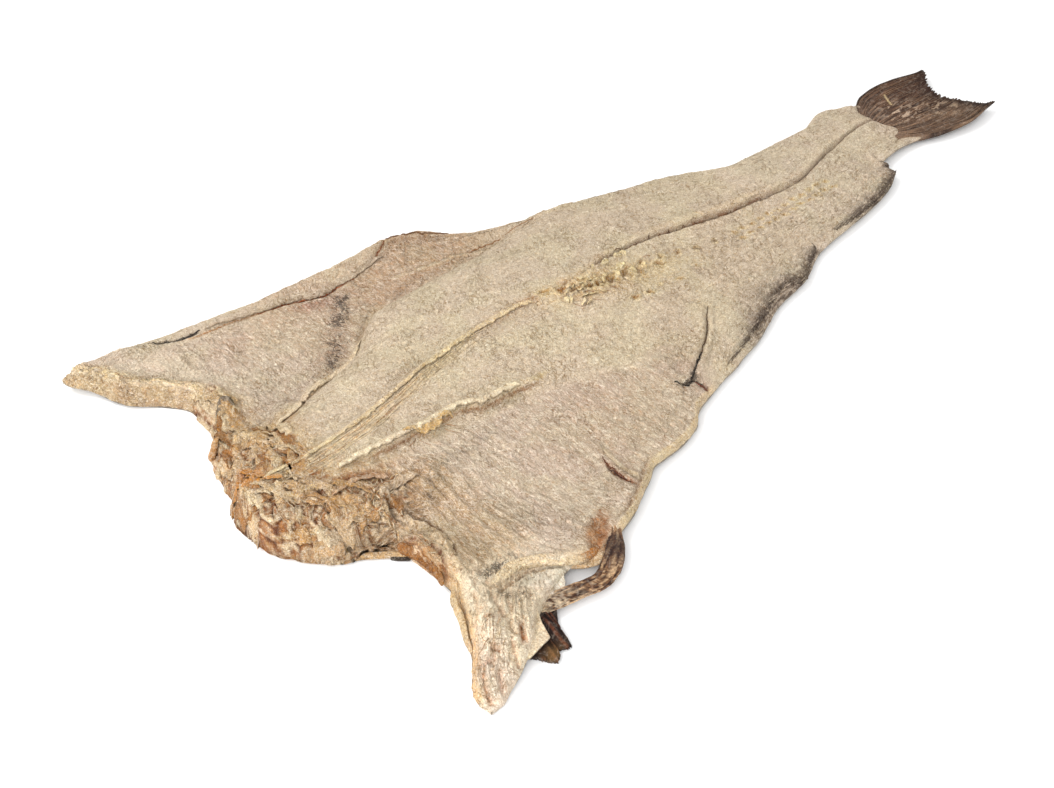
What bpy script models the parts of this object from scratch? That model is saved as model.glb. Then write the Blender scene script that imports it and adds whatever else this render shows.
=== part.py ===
"""Split, salted and dried cod, lying on its skin with the flesh side up.

The fish was cut open along the belly, its head and the front two thirds of its
backbone were taken out, and it was pressed flat and dried. It is one solid: a
skin sheet that lies on the table, flesh of varying thickness on top of it, and
the tail fin, a pelvic fin and a pectoral fin grown onto it.

Fish axes while modelling: X runs from the neck to the tail, Y to the fish's left
flap, Z up from the table. At the end the fish is moved so that the origin is at
the centre of its bounding box's base.
"""

import math

import bmesh
import bpy
import numpy as np

MM = 0.001

# Driving sizes, in metres.
FLESH_END = 592 * MM  # where the flesh stops and the tail fin starts
RIM = 2.5 * MM  # thickness of the flesh right at its edge
NECK_ROUNDING = 8 * MM  # how fast the cut at the neck rises to full thickness
STUMP_ROUNDING = 18 * MM  # the same at the stump of the neck, which slopes back
SIDE_ROUNDING = 7 * MM  # the same for the two long sides
MOST_FLESH = 40 * MM  # thickness that a weight of 1 stands for
TAIL_ROOT_Z = 3 * MM  # height of the underside where the tail fin starts

# Grid of the flesh: steps along the fish and across it.
STEPS_ALONG, STEPS_ACROSS = 56, 30

# Outline, in millimetres. Each side is (place along the fish, place across it).
LEFT_SIDE = (
    (-14, 168), (0, 172), (22, 170), (60, 163), (95, 153), (122, 146),
    (188, 139), (214, 141), (236, 137), (258, 118), (300, 100), (350, 82),
    (422, 59), (447, 43), (500, 42), (530, 38), (562, 46), (592, 33),
)
RIGHT_SIDE = (
    (8, -185), (22, -182), (45, -173), (64, -160), (80, -153), (100, -148),
    (118, -151), (142, -147), (177, -132), (190, -126), (205, -126),
    (230, -121), (242, -112), (262, -107), (320, -94), (358, -81),
    (386, -77), (425, -63), (480, -58), (518, -51), (535, -41), (541, -28),
    (570, -25), (592, -27),
)
# The neck's cut edge is (place across the fish, place along it).
NECK_CUT = (
    (-185, 8), (-172, 9), (-156, 22), (-130, 37), (-112, 46), (-88, 47),
    (-72, 43), (-58, 18), (-42, 4), (-20, -6), (0, -6), (20, 4), (45, 9),
    (58, 18), (72, 27), (98, 29), (112, 20), (130, 3), (150, -5),
    (161, -12), (168, -14),
)

# Lines that run along the fish, in millimetres: (along, across).
MIDLINE = (
    (-10, -2), (40, -6), (80, -3), (136, 8), (200, 13), (240, 9), (290, 11),
    (330, 10), (362, 5), (403, -2), (464, -8), (505, 0), (567, 9), (592, 9),
)
LEFT_LOIN_EDGE = (
    (-10, 30), (31, 34), (55, 42), (95, 52), (122, 60), (141, 76), (160, 87),
    (250, 88), (300, 93), (360, 77), (420, 59), (450, 46), (592, 38),
)
RIGHT_LOIN_EDGE = (
    (-10, -60), (45, -70), (100, -88), (166, -104), (210, -112), (262, -106),
    (320, -94), (400, -74), (470, -58), (592, -32),
)
LEFT_FOLD = (  # beyond it the edge of the left flap turns up
    (-14, 164), (50, 152), (95, 143), (129, 135), (155, 126), (174, 126),
    (206, 131), (240, 124), (262, 112), (592, 60),
)

# Heights along the fish, in millimetres: (along, height or thickness).
LEFT_LOIN = (
    (-10, 28), (30, 32), (100, 30), (200, 28), (270, 27), (350, 24),
    (420, 20), (500, 16), (560, 12), (592, 9),
)
RIGHT_LOIN = (
    (-10, 28), (30, 31), (100, 28), (200, 26), (270, 25), (310, 22),
    (350, 18), (420, 13), (500, 11), (560, 9), (592, 8),
)
FLANK = (  # thickness of the meat near the two long sides
    (-10, 7), (250, 7), (300, 9), (360, 9), (420, 7), (500, 6), (592, 5),
)
BACKBONE_GROOVE = (
    (-10, 2), (60, 3), (150, 3), (250, 4), (300, 5), (350, 6), (460, 6),
    (560, 4), (592, 1),
)
LEFT_LIP = ((40, 0), (100, 5), (150, 9), (190, 10), (215, 8), (245, 4), (270, 2), (592, 1))
LEFT_LIFT = ((-12, 5), (20, 3), (60, 1), (300, 2), (592, 2))
RIGHT_LIFT = ((8, 0), (60, 6), (110, 5), (180, 4), (250, 3), (400, 3), (480, 4), (540, 4), (592, 1))


def smooth_line(stations):
    """A function of one variable that passes smoothly through the stations, given in
    millimetres, without overshooting them. It takes and returns metres."""
    places, values = (np.array(column, float) * MM for column in zip(*stations))
    gaps = np.diff(places)
    slopes = np.diff(values) / gaps
    tangents = np.zeros(len(places))
    turning = slopes[:-1] * slopes[1:] > 0
    tangents[1:-1][turning] = (
        2 * slopes[:-1] * slopes[1:] / np.where(turning, slopes[:-1] + slopes[1:], 1)
    )[turning]

    def value(place):
        place = np.clip(np.asarray(place, float), places[0], places[-1])
        i = np.clip(np.searchsorted(places, place, "right") - 1, 0, len(gaps) - 1)
        t = (place - places[i]) / gaps[i]
        rise = t * t * (3 - 2 * t)
        leave = t * (1 - t) ** 2 * gaps[i] * tangents[i]
        arrive = t * t * (t - 1) * gaps[i] * tangents[i + 1]
        return values[i] * (1 - rise) + values[i + 1] * rise + leave + arrive

    return value


left_side = smooth_line(LEFT_SIDE)
right_side = smooth_line(RIGHT_SIDE)
neck_cut = smooth_line(NECK_CUT)
midline = smooth_line(MIDLINE)
left_loin_edge = smooth_line(LEFT_LOIN_EDGE)
right_loin_edge = smooth_line(RIGHT_LOIN_EDGE)
left_fold = smooth_line(LEFT_FOLD)
left_loin = smooth_line(LEFT_LOIN)
right_loin = smooth_line(RIGHT_LOIN)
flank = smooth_line(FLANK)
backbone_groove = smooth_line(BACKBONE_GROOVE)
left_lip = smooth_line(LEFT_LIP)
left_lift = smooth_line(LEFT_LIFT)
right_lift = smooth_line(RIGHT_LIFT)


def ease(t):
    """0 below 0, 1 above 1 and a smooth step between."""
    t = np.clip(t, 0, 1)
    return t * t * (3 - 2 * t)


def bump(x, y, centre, radii):
    """A round hill, 1 at its centre and 0 beyond about twice its radii."""
    return np.exp(-(((x - centre[0]) / radii[0]) ** 2) - ((y - centre[1]) / radii[1]) ** 2)


def quarter_round(distance, radius):
    """0 at the edge, rising like a quarter circle to 1 at the given distance."""
    t = np.clip(distance / radius, 0, 1)
    return np.sqrt(1 - (1 - t) ** 2)


def place_on_fish(u, w):
    """Plan position of grid place u (0 neck, 1 tail) and w (0 right, 1 left)."""
    across_neck = RIGHT_SIDE[0][1] * MM * (1 - w) + LEFT_SIDE[0][1] * MM * w
    x = neck_cut(across_neck) * (1 - u) + FLESH_END * u
    at_right = right_side(RIGHT_SIDE[0][0] * MM * (1 - u) + FLESH_END * u)
    at_left = left_side(LEFT_SIDE[0][0] * MM * (1 - u) + FLESH_END * u)
    return x, at_right * (1 - w) + at_left * w


def flesh_thickness(x, y, u, w):
    """Thickness of the meat above the skin."""
    middle = midline(x)
    left = y > middle
    reach = np.where(left, left_loin_edge(x) - middle, middle - right_loin_edge(x))
    share = np.clip(np.abs(y - middle) / reach, 0, 1)
    lobe = np.where(left, (1 - share**3) ** 0.6, 1 - share**2)
    crest = np.where(left, left_loin(x), right_loin(x))
    thick = flank(x) + (crest - flank(x)) * lobe
    thick = thick - backbone_groove(x) * np.exp(-(((y - middle) / (5 * MM)) ** 2))

    from_neck = x - neck_cut(y)
    at_collar = np.exp(-(((from_neck - 9 * MM) / (11 * MM)) ** 2))
    away_from_stump = ease((np.abs(y) - 62 * MM) / (30 * MM))
    thick = thick + 8 * MM * at_collar * away_from_stump
    thick = thick + 7 * MM * bump(x, y, (40 * MM, -150 * MM), (26 * MM, 18 * MM))
    thick = thick - 9 * MM * bump(x, y, (34 * MM, -66 * MM), (16 * MM, 12 * MM))

    width = left_side(x) - right_side(x)
    from_side = np.minimum(w, 1 - w) * width
    at_stump = np.exp(-(((y + 2 * MM) / (45 * MM)) ** 4))
    neck_rounding = NECK_ROUNDING + (STUMP_ROUNDING - NECK_ROUNDING) * at_stump
    rounding = quarter_round(from_side, SIDE_ROUNDING) * quarter_round(from_neck, neck_rounding)
    return RIM + (thick - RIM) * np.where(u > 0, rounding, 0.15)


def skin_height(x, y, u, w):
    """Height of the skin over the table. It is flat under the loins."""
    fold = left_fold(x)
    past_fold = np.clip((y - fold) / np.maximum(left_side(x) - fold, 4 * MM), 0, 1)
    lip = left_lip(x) * past_fold**1.3
    left_edge = left_lift(x) * ease((w - 0.80) / 0.20)
    right_edge = right_lift(x) * ease((0.24 - w) / 0.24)
    tail = TAIL_ROOT_Z * ease((x - 500 * MM) / (92 * MM))
    return lip + left_edge + right_edge + tail


def new_object(name, mesh, collection):
    made = bpy.data.objects.new(name, mesh)
    collection.objects.link(made)
    return made


def sheet(name, collection, steps, place, thickness, most):
    """A grid laid out by place(u, w) -> (x, y, z), thickened upwards with Solidify, whose
    vertex group holds the share of the most thickness at each point."""
    cage = bmesh.new()
    bmesh.ops.create_grid(cage, x_segments=steps[0], y_segments=steps[1], size=0.5)
    cage.verts.ensure_lookup_table()
    u, w = np.array([(v.co.x + 0.5, v.co.y + 0.5) for v in cage.verts]).T
    x, y, z = place(u, w)
    thick = thickness(x, y, u, w)
    for vert, point in zip(cage.verts, zip(x, y, z)):
        vert.co = point
    mesh = bpy.data.meshes.new(name)
    cage.to_mesh(mesh)
    cage.free()
    made = new_object(name, mesh, collection)
    group = made.vertex_groups.new(name="thickness")
    for index, share in enumerate(thick / most):
        group.add([index], float(np.clip(share, 0, 1)), "REPLACE")
    solidify = made.modifiers.new("Thickness", "SOLIDIFY")
    solidify.thickness = most
    solidify.offset = 1
    solidify.vertex_group = group.name
    return made


def denser_at_ends(t):
    return 0.5 * t + 0.5 * (0.5 - 0.5 * np.cos(math.pi * t))


def make_flesh(collection):
    def place(u, w):
        u, w = u**1.35, denser_at_ends(w)
        x, y = place_on_fish(u, w)
        return x, y, skin_height(x, y, u, w)

    def thickness(x, y, u, w):
        return flesh_thickness(x, y, u**1.35, denser_at_ends(w))

    steps = (STEPS_ALONG, STEPS_ACROSS)
    return sheet("split_cod", collection, steps, place, thickness, MOST_FLESH)


# Tail fin, in millimetres.
TAIL_UPPER = ((574, 22), (592, 33), (606, 39), (626, 41), (645, 38), (674, 30))
TAIL_LOWER = ((574, -18), (592, -28), (612, -36), (640, -41), (673, -38))
TAIL_HIND_EDGE = ((0, 673), (0.1, 666), (0.35, 657), (0.5, 652), (0.68, 656), (1, 674))


def make_tail_fin(collection):
    """A fan that is thick at its root and thin and hollowed at its hind edge."""
    upper, lower = smooth_line(TAIL_UPPER), smooth_line(TAIL_LOWER)
    shares, ends = zip(*TAIL_HIND_EDGE)
    root = TAIL_UPPER[0][0] * MM

    def place(u, w):
        hind = np.interp(w, shares, ends) * MM
        x = root * (1 - u) + hind * u
        y = lower(x) * (1 - w) + upper(x) * w
        wave = 1.2 * MM * np.sin(y / (9 * MM)) * u
        return x, y, (TAIL_ROOT_Z - 0.5 * MM) + 5 * MM * u + wave

    def thickness(x, y, u, w):
        return 5.5 * MM * (1 - u) ** 1.5 + 1.4 * MM

    return sheet("tail_fin", collection, (10, 12), place, thickness, 8 * MM)


# Pectoral fin, which lies folded under the right collar, in millimetres. Its edge is
# (share of the way round, place along the fish, place across it).
PECTORAL_ROOT = ((0, 66, -140), (1, 88, -140))
PECTORAL_EDGE = ((0, 46, -172), (0.3, 54, -185), (0.65, 66, -182), (1, 76, -162))


def make_pectoral_fin(collection):
    def along(line, w):
        shares, x, y = zip(*line)
        return np.interp(w, shares, x) * MM, np.interp(w, shares, y) * MM

    def place(u, w):
        root_x, root_y = along(PECTORAL_ROOT, w)
        edge_x, edge_y = along(PECTORAL_EDGE, w)
        x = root_x * (1 - u) + edge_x * u
        return x, root_y * (1 - u) + edge_y * u, np.full_like(x, 0.4 * MM)

    def thickness(x, y, u, w):
        return 6.5 * MM * (1 - u) + 2 * MM

    return sheet("pectoral_fin", collection, (6, 8), place, thickness, 10 * MM)


# Pelvic fin: a dried strap that bridges the collar and the right flap. Each point
# is (along, across, height, radius), in millimetres.
PELVIC_FIN = (
    (64, -148, 11, 6), (76, -156, 9, 6.5), (90, -161, 7, 5), (104, -163, 6, 4.5),
    (118, -163, 6, 5), (127, -160, 7, 5.5), (134, -153, 8, 5.5), (142, -140, 8, 3),
)


def make_pelvic_fin(collection):
    curve = bpy.data.curves.new("pelvic_fin", "CURVE")
    curve.dimensions = "3D"
    curve.bevel_depth = 1
    curve.bevel_resolution = 2
    curve.use_fill_caps = True
    spline = curve.splines.new("POLY")
    spline.points.add(len(PELVIC_FIN) - 1)
    for point, (x, y, z, radius) in zip(spline.points, PELVIC_FIN):
        point.co = (x * MM, y * MM, z * MM, 1)
        point.radius = radius * MM
    strap = new_object("pelvic_fin_curve", curve, collection)
    bpy.context.view_layer.update()
    graph = bpy.context.evaluated_depsgraph_get()
    mesh = bpy.data.meshes.new_from_object(strap.evaluated_get(graph))
    bpy.data.objects.remove(strap)
    weld = bmesh.new()
    weld.from_mesh(mesh)
    bmesh.ops.remove_doubles(weld, verts=weld.verts, dist=0.01 * MM)
    bmesh.ops.recalc_face_normals(weld, faces=weld.faces)
    weld.to_mesh(mesh)
    weld.free()
    return new_object("pelvic_fin", mesh, collection)


def flesh_material():
    """Pale, dry, straw-coloured flesh."""
    made = bpy.data.materials.new("dried_flesh")
    made.use_nodes = True
    shader = made.node_tree.nodes["Principled BSDF"]
    shader.inputs["Base Color"].default_value = (0.62, 0.50, 0.34, 1)
    shader.inputs["Roughness"].default_value = 0.85
    shader.inputs["Metallic"].default_value = 0
    return made


def join(body, pieces):
    for piece in pieces:
        union = body.modifiers.new("Join " + piece.name, "BOOLEAN")
        union.operation = "UNION"
        union.solver = "EXACT"
        union.object = piece
        piece.hide_render = True
        piece.display_type = "WIRE"


def centre_on_base(body):
    """Moves the fish so that the origin is the centre of its bounding box's base."""
    bpy.context.view_layer.update()
    graph = bpy.context.evaluated_depsgraph_get()
    corners = np.array([tuple(c) for c in body.evaluated_get(graph).bound_box])
    low, high = corners.min(0), corners.max(0)
    shift = (-(low[0] + high[0]) / 2, -(low[1] + high[1]) / 2, -low[2])
    for made in bpy.data.objects:
        made.location = shift


def main():
    for old in list(bpy.data.objects):
        bpy.data.objects.remove(old)
    fish = bpy.data.collections.new("split_dried_cod")
    joined = bpy.data.collections.new("joined_fins")
    for collection in (fish, joined):
        bpy.context.scene.collection.children.link(collection)
    body = make_flesh(fish)
    body.data.materials.append(flesh_material())
    fins = (make_tail_fin(joined), make_pectoral_fin(joined), make_pelvic_fin(joined))
    join(body, fins)
    centre_on_base(body)


main()
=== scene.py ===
"""Looks of the split, salted and dried cod that lies on its skin, flesh side up.

Shapes are worked out in the fish's own plan, in millimetres: x runs from the neck
to the tail, y to the fish's left flap, z up from the table. to_row() then moves
them into the row frame of the CAD model, in metres.
"""

import math

import bpy
import numpy as np
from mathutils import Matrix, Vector
from mathutils.bvhtree import BVHTree
from mathutils.kdtree import KDTree


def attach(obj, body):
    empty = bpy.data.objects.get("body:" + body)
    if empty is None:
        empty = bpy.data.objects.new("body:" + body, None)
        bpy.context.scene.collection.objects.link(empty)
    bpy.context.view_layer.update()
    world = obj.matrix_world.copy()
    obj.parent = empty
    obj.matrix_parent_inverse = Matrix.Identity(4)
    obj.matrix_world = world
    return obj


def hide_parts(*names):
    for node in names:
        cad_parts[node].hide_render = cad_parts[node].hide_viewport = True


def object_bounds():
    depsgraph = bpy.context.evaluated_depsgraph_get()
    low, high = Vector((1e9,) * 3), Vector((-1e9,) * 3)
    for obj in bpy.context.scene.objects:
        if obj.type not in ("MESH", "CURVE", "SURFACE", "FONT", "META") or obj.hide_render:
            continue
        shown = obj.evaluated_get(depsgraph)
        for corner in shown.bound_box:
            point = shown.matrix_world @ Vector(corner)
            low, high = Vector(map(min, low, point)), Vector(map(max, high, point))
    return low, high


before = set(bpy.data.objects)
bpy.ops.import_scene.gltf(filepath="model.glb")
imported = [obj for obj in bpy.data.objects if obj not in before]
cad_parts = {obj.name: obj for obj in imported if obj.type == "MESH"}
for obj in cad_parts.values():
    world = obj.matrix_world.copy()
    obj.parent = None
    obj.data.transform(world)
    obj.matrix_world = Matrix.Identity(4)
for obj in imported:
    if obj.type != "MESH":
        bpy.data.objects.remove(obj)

CAD_LOW, CAD_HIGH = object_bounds()
MM = 0.001
NODE = "split_cod"
BODY = "root"

# ---------------------------------------------------------------- small maths
def smooth_line(stations):
    """A function of one variable that passes smoothly through the stations."""
    places, values = (np.array(column, float) for column in zip(*stations))
    gaps = np.diff(places)
    slopes = np.diff(values) / gaps
    tangents = np.zeros(len(places))
    turning = slopes[:-1] * slopes[1:] > 0
    tangents[1:-1][turning] = (
        2 * slopes[:-1] * slopes[1:] / np.where(turning, slopes[:-1] + slopes[1:], 1)
    )[turning]

    def value(place):
        place = np.clip(np.asarray(place, float), places[0], places[-1])
        i = np.clip(np.searchsorted(places, place, "right") - 1, 0, len(gaps) - 1)
        t = (place - places[i]) / gaps[i]
        rise = t * t * (3 - 2 * t)
        leave = t * (1 - t) ** 2 * gaps[i] * tangents[i]
        arrive = t * t * (t - 1) * gaps[i] * tangents[i + 1]
        return values[i] * (1 - rise) + values[i + 1] * rise + leave + arrive

    return value


def ease(t):
    """0 below 0, 1 above 1 and a smooth step between."""
    t = np.clip(t, 0, 1)
    return t * t * (3 - 2 * t)


def between(t, low, high, soft):
    """1 between low and high, 0 outside, with soft shoulders."""
    return ease((t - low) / soft + 0.5) * ease((high - t) / soft + 0.5)


def hill(t, width):
    """A bell shape, 1 at 0 and nearly 0 beyond twice the width."""
    return np.exp(-((t / width) ** 2))


def blob(x, y, centre, radii, angle=0):
    """A round hill, 1 at its centre, turned by an angle in degrees."""
    c, s = math.cos(math.radians(angle)), math.sin(math.radians(angle))
    dx, dy = x - centre[0], y - centre[1]
    return np.exp(-(((dx * c + dy * s) / radii[0]) ** 2) - (((dy * c - dx * s) / radii[1]) ** 2))


def quarter_round(distance, radius):
    """0 at the edge, rising like a quarter circle to 1 at the given distance."""
    t = np.clip(distance / radius, 0, 1)
    return np.sqrt(1 - (1 - t) ** 2)


LATTICE = 4096  # noise repeats only after this many of its own features
CHANCE = np.random.default_rng(11)
SHUFFLE = CHANCE.permutation(LATTICE).astype(np.int32)
TURNS = CHANCE.uniform(0, 2 * np.pi, LATTICE)
LEVELS = CHANCE.uniform(-1, 1, LATTICE)
LEVEL_RINGS = np.sqrt(1 - LEVELS**2)
ARROWS = np.stack([np.cos(TURNS), np.sin(TURNS)]).astype(np.float32)
ARROWS_3D = np.stack([np.cos(TURNS) * LEVEL_RINGS, np.sin(TURNS) * LEVEL_RINGS, LEVELS])
ARROWS_3D = ARROWS_3D.astype(np.float32)


def noise(x, y, z, seed):
    """Smooth gradient noise, about -1 to 1, with features about one unit wide."""
    flat = np.ndim(z) == 0
    axes = [np.asarray(v, np.float32) for v in np.broadcast_arrays(*((x, y) if flat else (x, y, z)))]
    cells = [np.floor(v).astype(np.int32) for v in axes]
    parts = [v - c for v, c in zip(axes, cells)]
    fades = [p * p * p * (p * (p * 6 - 15) + 10) for p in parts]
    arrows = ARROWS if flat else ARROWS_3D
    total = 0
    for corner in range(2 ** len(axes)):
        key = np.int32(seed * 613 % LATTICE)
        weight, steps = 1, [corner >> k & 1 for k in range(len(axes))]
        for cell, fade, step in zip(cells, fades, steps):
            key = SHUFFLE[(cell + step + key) & (LATTICE - 1)]
            weight = weight * (fade if step else 1 - fade)
        slope = sum(arrows[k][key] * (parts[k] - steps[k]) for k in range(len(axes)))
        total = total + weight * slope
    return total.astype(float) * 1.5


def octave_sum(x, y, z, size, seed, octaves, rough, form):
    """Noise of ever finer features, shaped by a form and summed."""
    total, strength, reach = 0, 1, 0
    for octave in range(octaves):
        scale = 2**octave / size
        total = total + strength * form(noise(x * scale, y * scale, z * scale, seed + octave))
        reach += strength
        strength *= rough
    return total / reach


def cloud(x, y, z, size, seed, octaves=3, rough=0.5):
    """Soft noise; size is the width of its largest features."""
    return octave_sum(x, y, z, size, seed, octaves, rough, lambda level: level)


def ridges(x, y, z, size, seed, octaves=3, rough=0.5):
    """Noise with sharp crests, 0 to 1."""
    return octave_sum(x, y, z, size, seed, octaves, rough,
                      lambda level: np.clip(1 - np.abs(level) * 2, 0, 1) ** 2)


def smooth_path(points, step=1.0):
    """Points about one step apart on a Catmull-Rom curve through the given ones."""
    points = np.array(points, float)
    padded = np.vstack([2 * points[0] - points[1], points, 2 * points[-1] - points[-2]])
    made = []
    for a, b, c, d in zip(padded, padded[1:], padded[2:], padded[3:]):
        count = max(2, int(np.linalg.norm(c - b) / step) + 1)
        t = np.linspace(0, 1, count, endpoint=False)[:, None]
        made.append(
            0.5 * (2 * b + (c - a) * t + (2 * a - 5 * b + 4 * c - d) * t**2
                   + (3 * b - a - 3 * c + d) * t**3)
        )
    return np.vstack(made + [points[-1:]])


def to_line(x, y, points, step=1.0):
    """(distance, signed offset, share of the way along) from places to a curve."""
    path = smooth_path([p[:2] for p in points], step)
    flat_x, flat_y = np.ravel(x), np.ravel(y)
    near = np.full(flat_x.shape, 1e9)
    side = np.zeros(flat_x.shape)
    share = np.zeros(flat_x.shape)
    length = len(path) - 1
    for i, (a, b) in enumerate(zip(path, path[1:])):
        run = b - a
        t = np.clip(((flat_x - a[0]) * run[0] + (flat_y - a[1]) * run[1]) / (run @ run), 0, 1)
        dx, dy = flat_x - a[0] - t * run[0], flat_y - a[1] - t * run[1]
        away = np.hypot(dx, dy)
        closer = away < near
        near = np.where(closer, away, near)
        side = np.where(closer, np.sign(run[0] * dy - run[1] * dx), side)
        share = np.where(closer, (i + t) / length, share)
    shape = np.shape(x)
    return near.reshape(shape), (near * side).reshape(shape), share.reshape(shape)


def to_row(points):
    """Fish plan in millimetres -> row frame in metres, kept inside the CAD box."""
    return np.clip(np.asarray(points, float) * MM + SHIFT, CAD_LOW, CAD_HIGH)


TONE = 0.95  # how much lighter or darker than the given colours the fish is painted


def srgb(red, green, blue):
    """The surface colour that looks like these 0 to 255 screen values in the studio."""
    c = np.array([red, green, blue]) / 255
    return TONE * np.where(c <= 0.04045, c / 12.92, ((c + 0.055) / 1.055) ** 2.4)


def blended(tint, share, colour):
    """Surface colours with a screen colour laid over them by a share, 0 to 1."""
    share = np.clip(share, 0, 1)[..., None]
    return tint * (1 - share) + srgb(*colour) * share


def unit(vectors):
    """The vectors along the last axis, made one long."""
    return vectors / (np.linalg.norm(vectors, axis=-1, keepdims=True) + 1e-9)


def spaced(path, shares):
    """Points at the given shares of the way through a path's points."""
    places = np.linspace(0, 1, len(path))
    return np.stack([np.interp(shares, places, path[:, k]) for k in range(3)], 1)


def placed(name, data):
    """A new object in the scene."""
    made = bpy.data.objects.new(name, data)
    bpy.context.scene.collection.objects.link(made)
    return made


# ---------------------------------------------------------------- outline and lines
# Each side is (place along the fish, place across it).
LEFT_SIDE = (
    (-14, 168), (0, 172), (22, 170), (60, 163), (95, 153), (122, 146),
    (188, 139), (214, 141), (236, 137), (258, 118), (300, 99), (350, 80),
    (422, 58), (447, 42), (500, 42), (530, 38), (562, 46), (592, 33),
)
RIGHT_SIDE = (
    (8, -185), (22, -182), (45, -173), (64, -160), (80, -153), (100, -148),
    (118, -151), (142, -147), (177, -132), (190, -126), (205, -126),
    (230, -121), (242, -112), (262, -107), (320, -94), (358, -81),
    (386, -77), (425, -63), (480, -58), (518, -51), (535, -41), (541, -28),
    (570, -25), (592, -27),
)
# The neck's cut edge is (place across the fish, place along it).
NECK_CUT = (
    (-185, 8), (-172, 9), (-156, 22), (-130, 37), (-112, 46), (-88, 47),
    (-72, 43), (-58, 18), (-42, 4), (-20, -6), (0, -6), (20, 4), (45, 9),
    (58, 18), (72, 27), (98, 29), (112, 20), (130, 3), (150, -5),
    (161, -12), (168, -14),
)
midline = smooth_line((
    (-10, -2), (40, -6), (80, -3), (136, 8), (200, 13), (240, 9), (290, 11),
    (330, 10), (362, 5), (403, -2), (464, -8), (505, 0), (567, 9), (592, 9),
))
left_crease = smooth_line((  # where the collar's tissue and the belly lining meet the left loin
    (-10, 30), (31, 33), (55, 41), (80, 48), (110, 52), (126, 59), (141, 73),
    (156, 84), (210, 86), (288, 83), (350, 62), (420, 44), (447, 30), (592, 24),
))
collar_edge = smooth_line((  # torn edge of the collar's tissue on the left loin's shoulder
    (14, 20), (30, 26), (38, 29), (43, 36), (49, 37), (55, 37), (60, 36), (67, 38),
    (74, 45), (84, 55), (95, 57), (110, 58), (126, 62), (141, 74), (160, 86),
))
left_loin_edge = smooth_line((
    (-10, 30), (31, 34), (55, 42), (95, 52), (122, 60), (141, 76), (160, 87),
    (250, 88), (300, 93), (360, 77), (420, 59), (450, 46), (592, 38),
))
right_loin_edge = smooth_line((
    (-10, -60), (45, -70), (100, -88), (166, -104), (210, -112), (262, -106),
    (320, -94), (400, -74), (470, -58), (592, -32),
))
left_fold = smooth_line((  # beyond it the edge of the left flap turns up
    (-14, 164), (50, 152), (95, 143), (129, 135), (155, 126), (174, 126),
    (206, 131), (240, 124), (262, 112), (592, 60),
))
FLESH_END = 592  # where the meat stops and the tail fin starts
LOWEST = (min(x for _, x in NECK_CUT), RIGHT_SIDE[0][1], 0)  # the CAD box's low corner
SHIFT = np.array(CAD_LOW) - np.array(LOWEST) * MM  # from the fish's plan to the row frame
THIN_TIPS = ((-14, 168, 40), (8, -186, 44))  # the lugs thin out: (along, across, reach)
MIDDLE = np.array([200.0, 0.0])  # the edge's fraying points away from here
LUG_TIP = np.array([8.0, -185.5])

# Heights along the fish: (along, height or thickness).
left_loin = smooth_line((
    (-10, 28), (30, 32), (100, 30), (200, 28), (270, 27), (350, 24),
    (420, 20), (500, 16), (560, 12), (592, 9),
))
right_loin = smooth_line((
    (-10, 28), (30, 31), (100, 28), (200, 26), (270, 25), (310, 22),
    (350, 18), (420, 13), (500, 11), (560, 9), (592, 8),
))
flank = smooth_line(((-10, 7), (250, 7), (300, 9), (360, 9), (420, 7), (500, 6), (592, 5)))
backbone_groove = smooth_line((
    (-10, 2), (60, 3), (150, 3), (250, 4), (300, 5), (350, 6), (460, 6),
    (560, 4), (592, 1),
))
left_lip = smooth_line(((40, 0), (100, 5), (150, 9), (190, 10), (215, 8), (245, 4), (270, 2), (592, 1)))
left_lift = smooth_line(((-14, 5), (20, 3), (60, 1), (300, 2), (592, 2)))
right_lift = smooth_line((
    (8, 0), (60, 6), (110, 5), (180, 4), (250, 3), (400, 3), (480, 4), (540, 4), (592, 1),
))
# Where the meat ends towards the tail fin: (place across, place along).
tail_boundary = smooth_line((
    (-30, 556), (-22, 562), (-17, 577), (-9, 586), (2, 583), (18, 581), (30, 587), (40, 592),
))
SOFT_TOP, SOFT_REACH = 26, 3.6  # the meat flattens out above one, within the other
RIM = 2.5  # thickness of the meat's edge
LEAST_THICK = 1.2
UNDERSIDE_GAP = 0.5  # the meat's underside stands so far above the skin's own surface
TABLE_GAP = 0.15
NECK_ROUNDING, STUMP_ROUNDING, SIDE_ROUNDING = 8, 18, 7
TAIL_ROOT_Z = 3

left_side = smooth_line(LEFT_SIDE)
right_side = smooth_line(RIGHT_SIDE)
neck_cut = smooth_line(NECK_CUT)


# ---------------------------------------------------------------- the body's surface
# Lines that the mesh follows, from right to left, and the cells up to the next one.
ACROSS = (
    (right_side, 8),
    (lambda x: right_side(x) + 5, 150),
    (lambda x: midline(x) - 14, 24),
    (midline, 18),
    (lambda x: midline(x) + 10, 50),
    (lambda x: np.minimum(left_crease(x), left_side(x) - 10), 110),
    (lambda x: np.minimum(left_fold(x), left_side(x) - 5), 24),
    (left_side, 0),
)
# The meat is made in bands: (share of the length where it ends, rows).
BANDS = ((0.0, 0), (0.16, 168), (0.5, 168), (1.0, 168))

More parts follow.
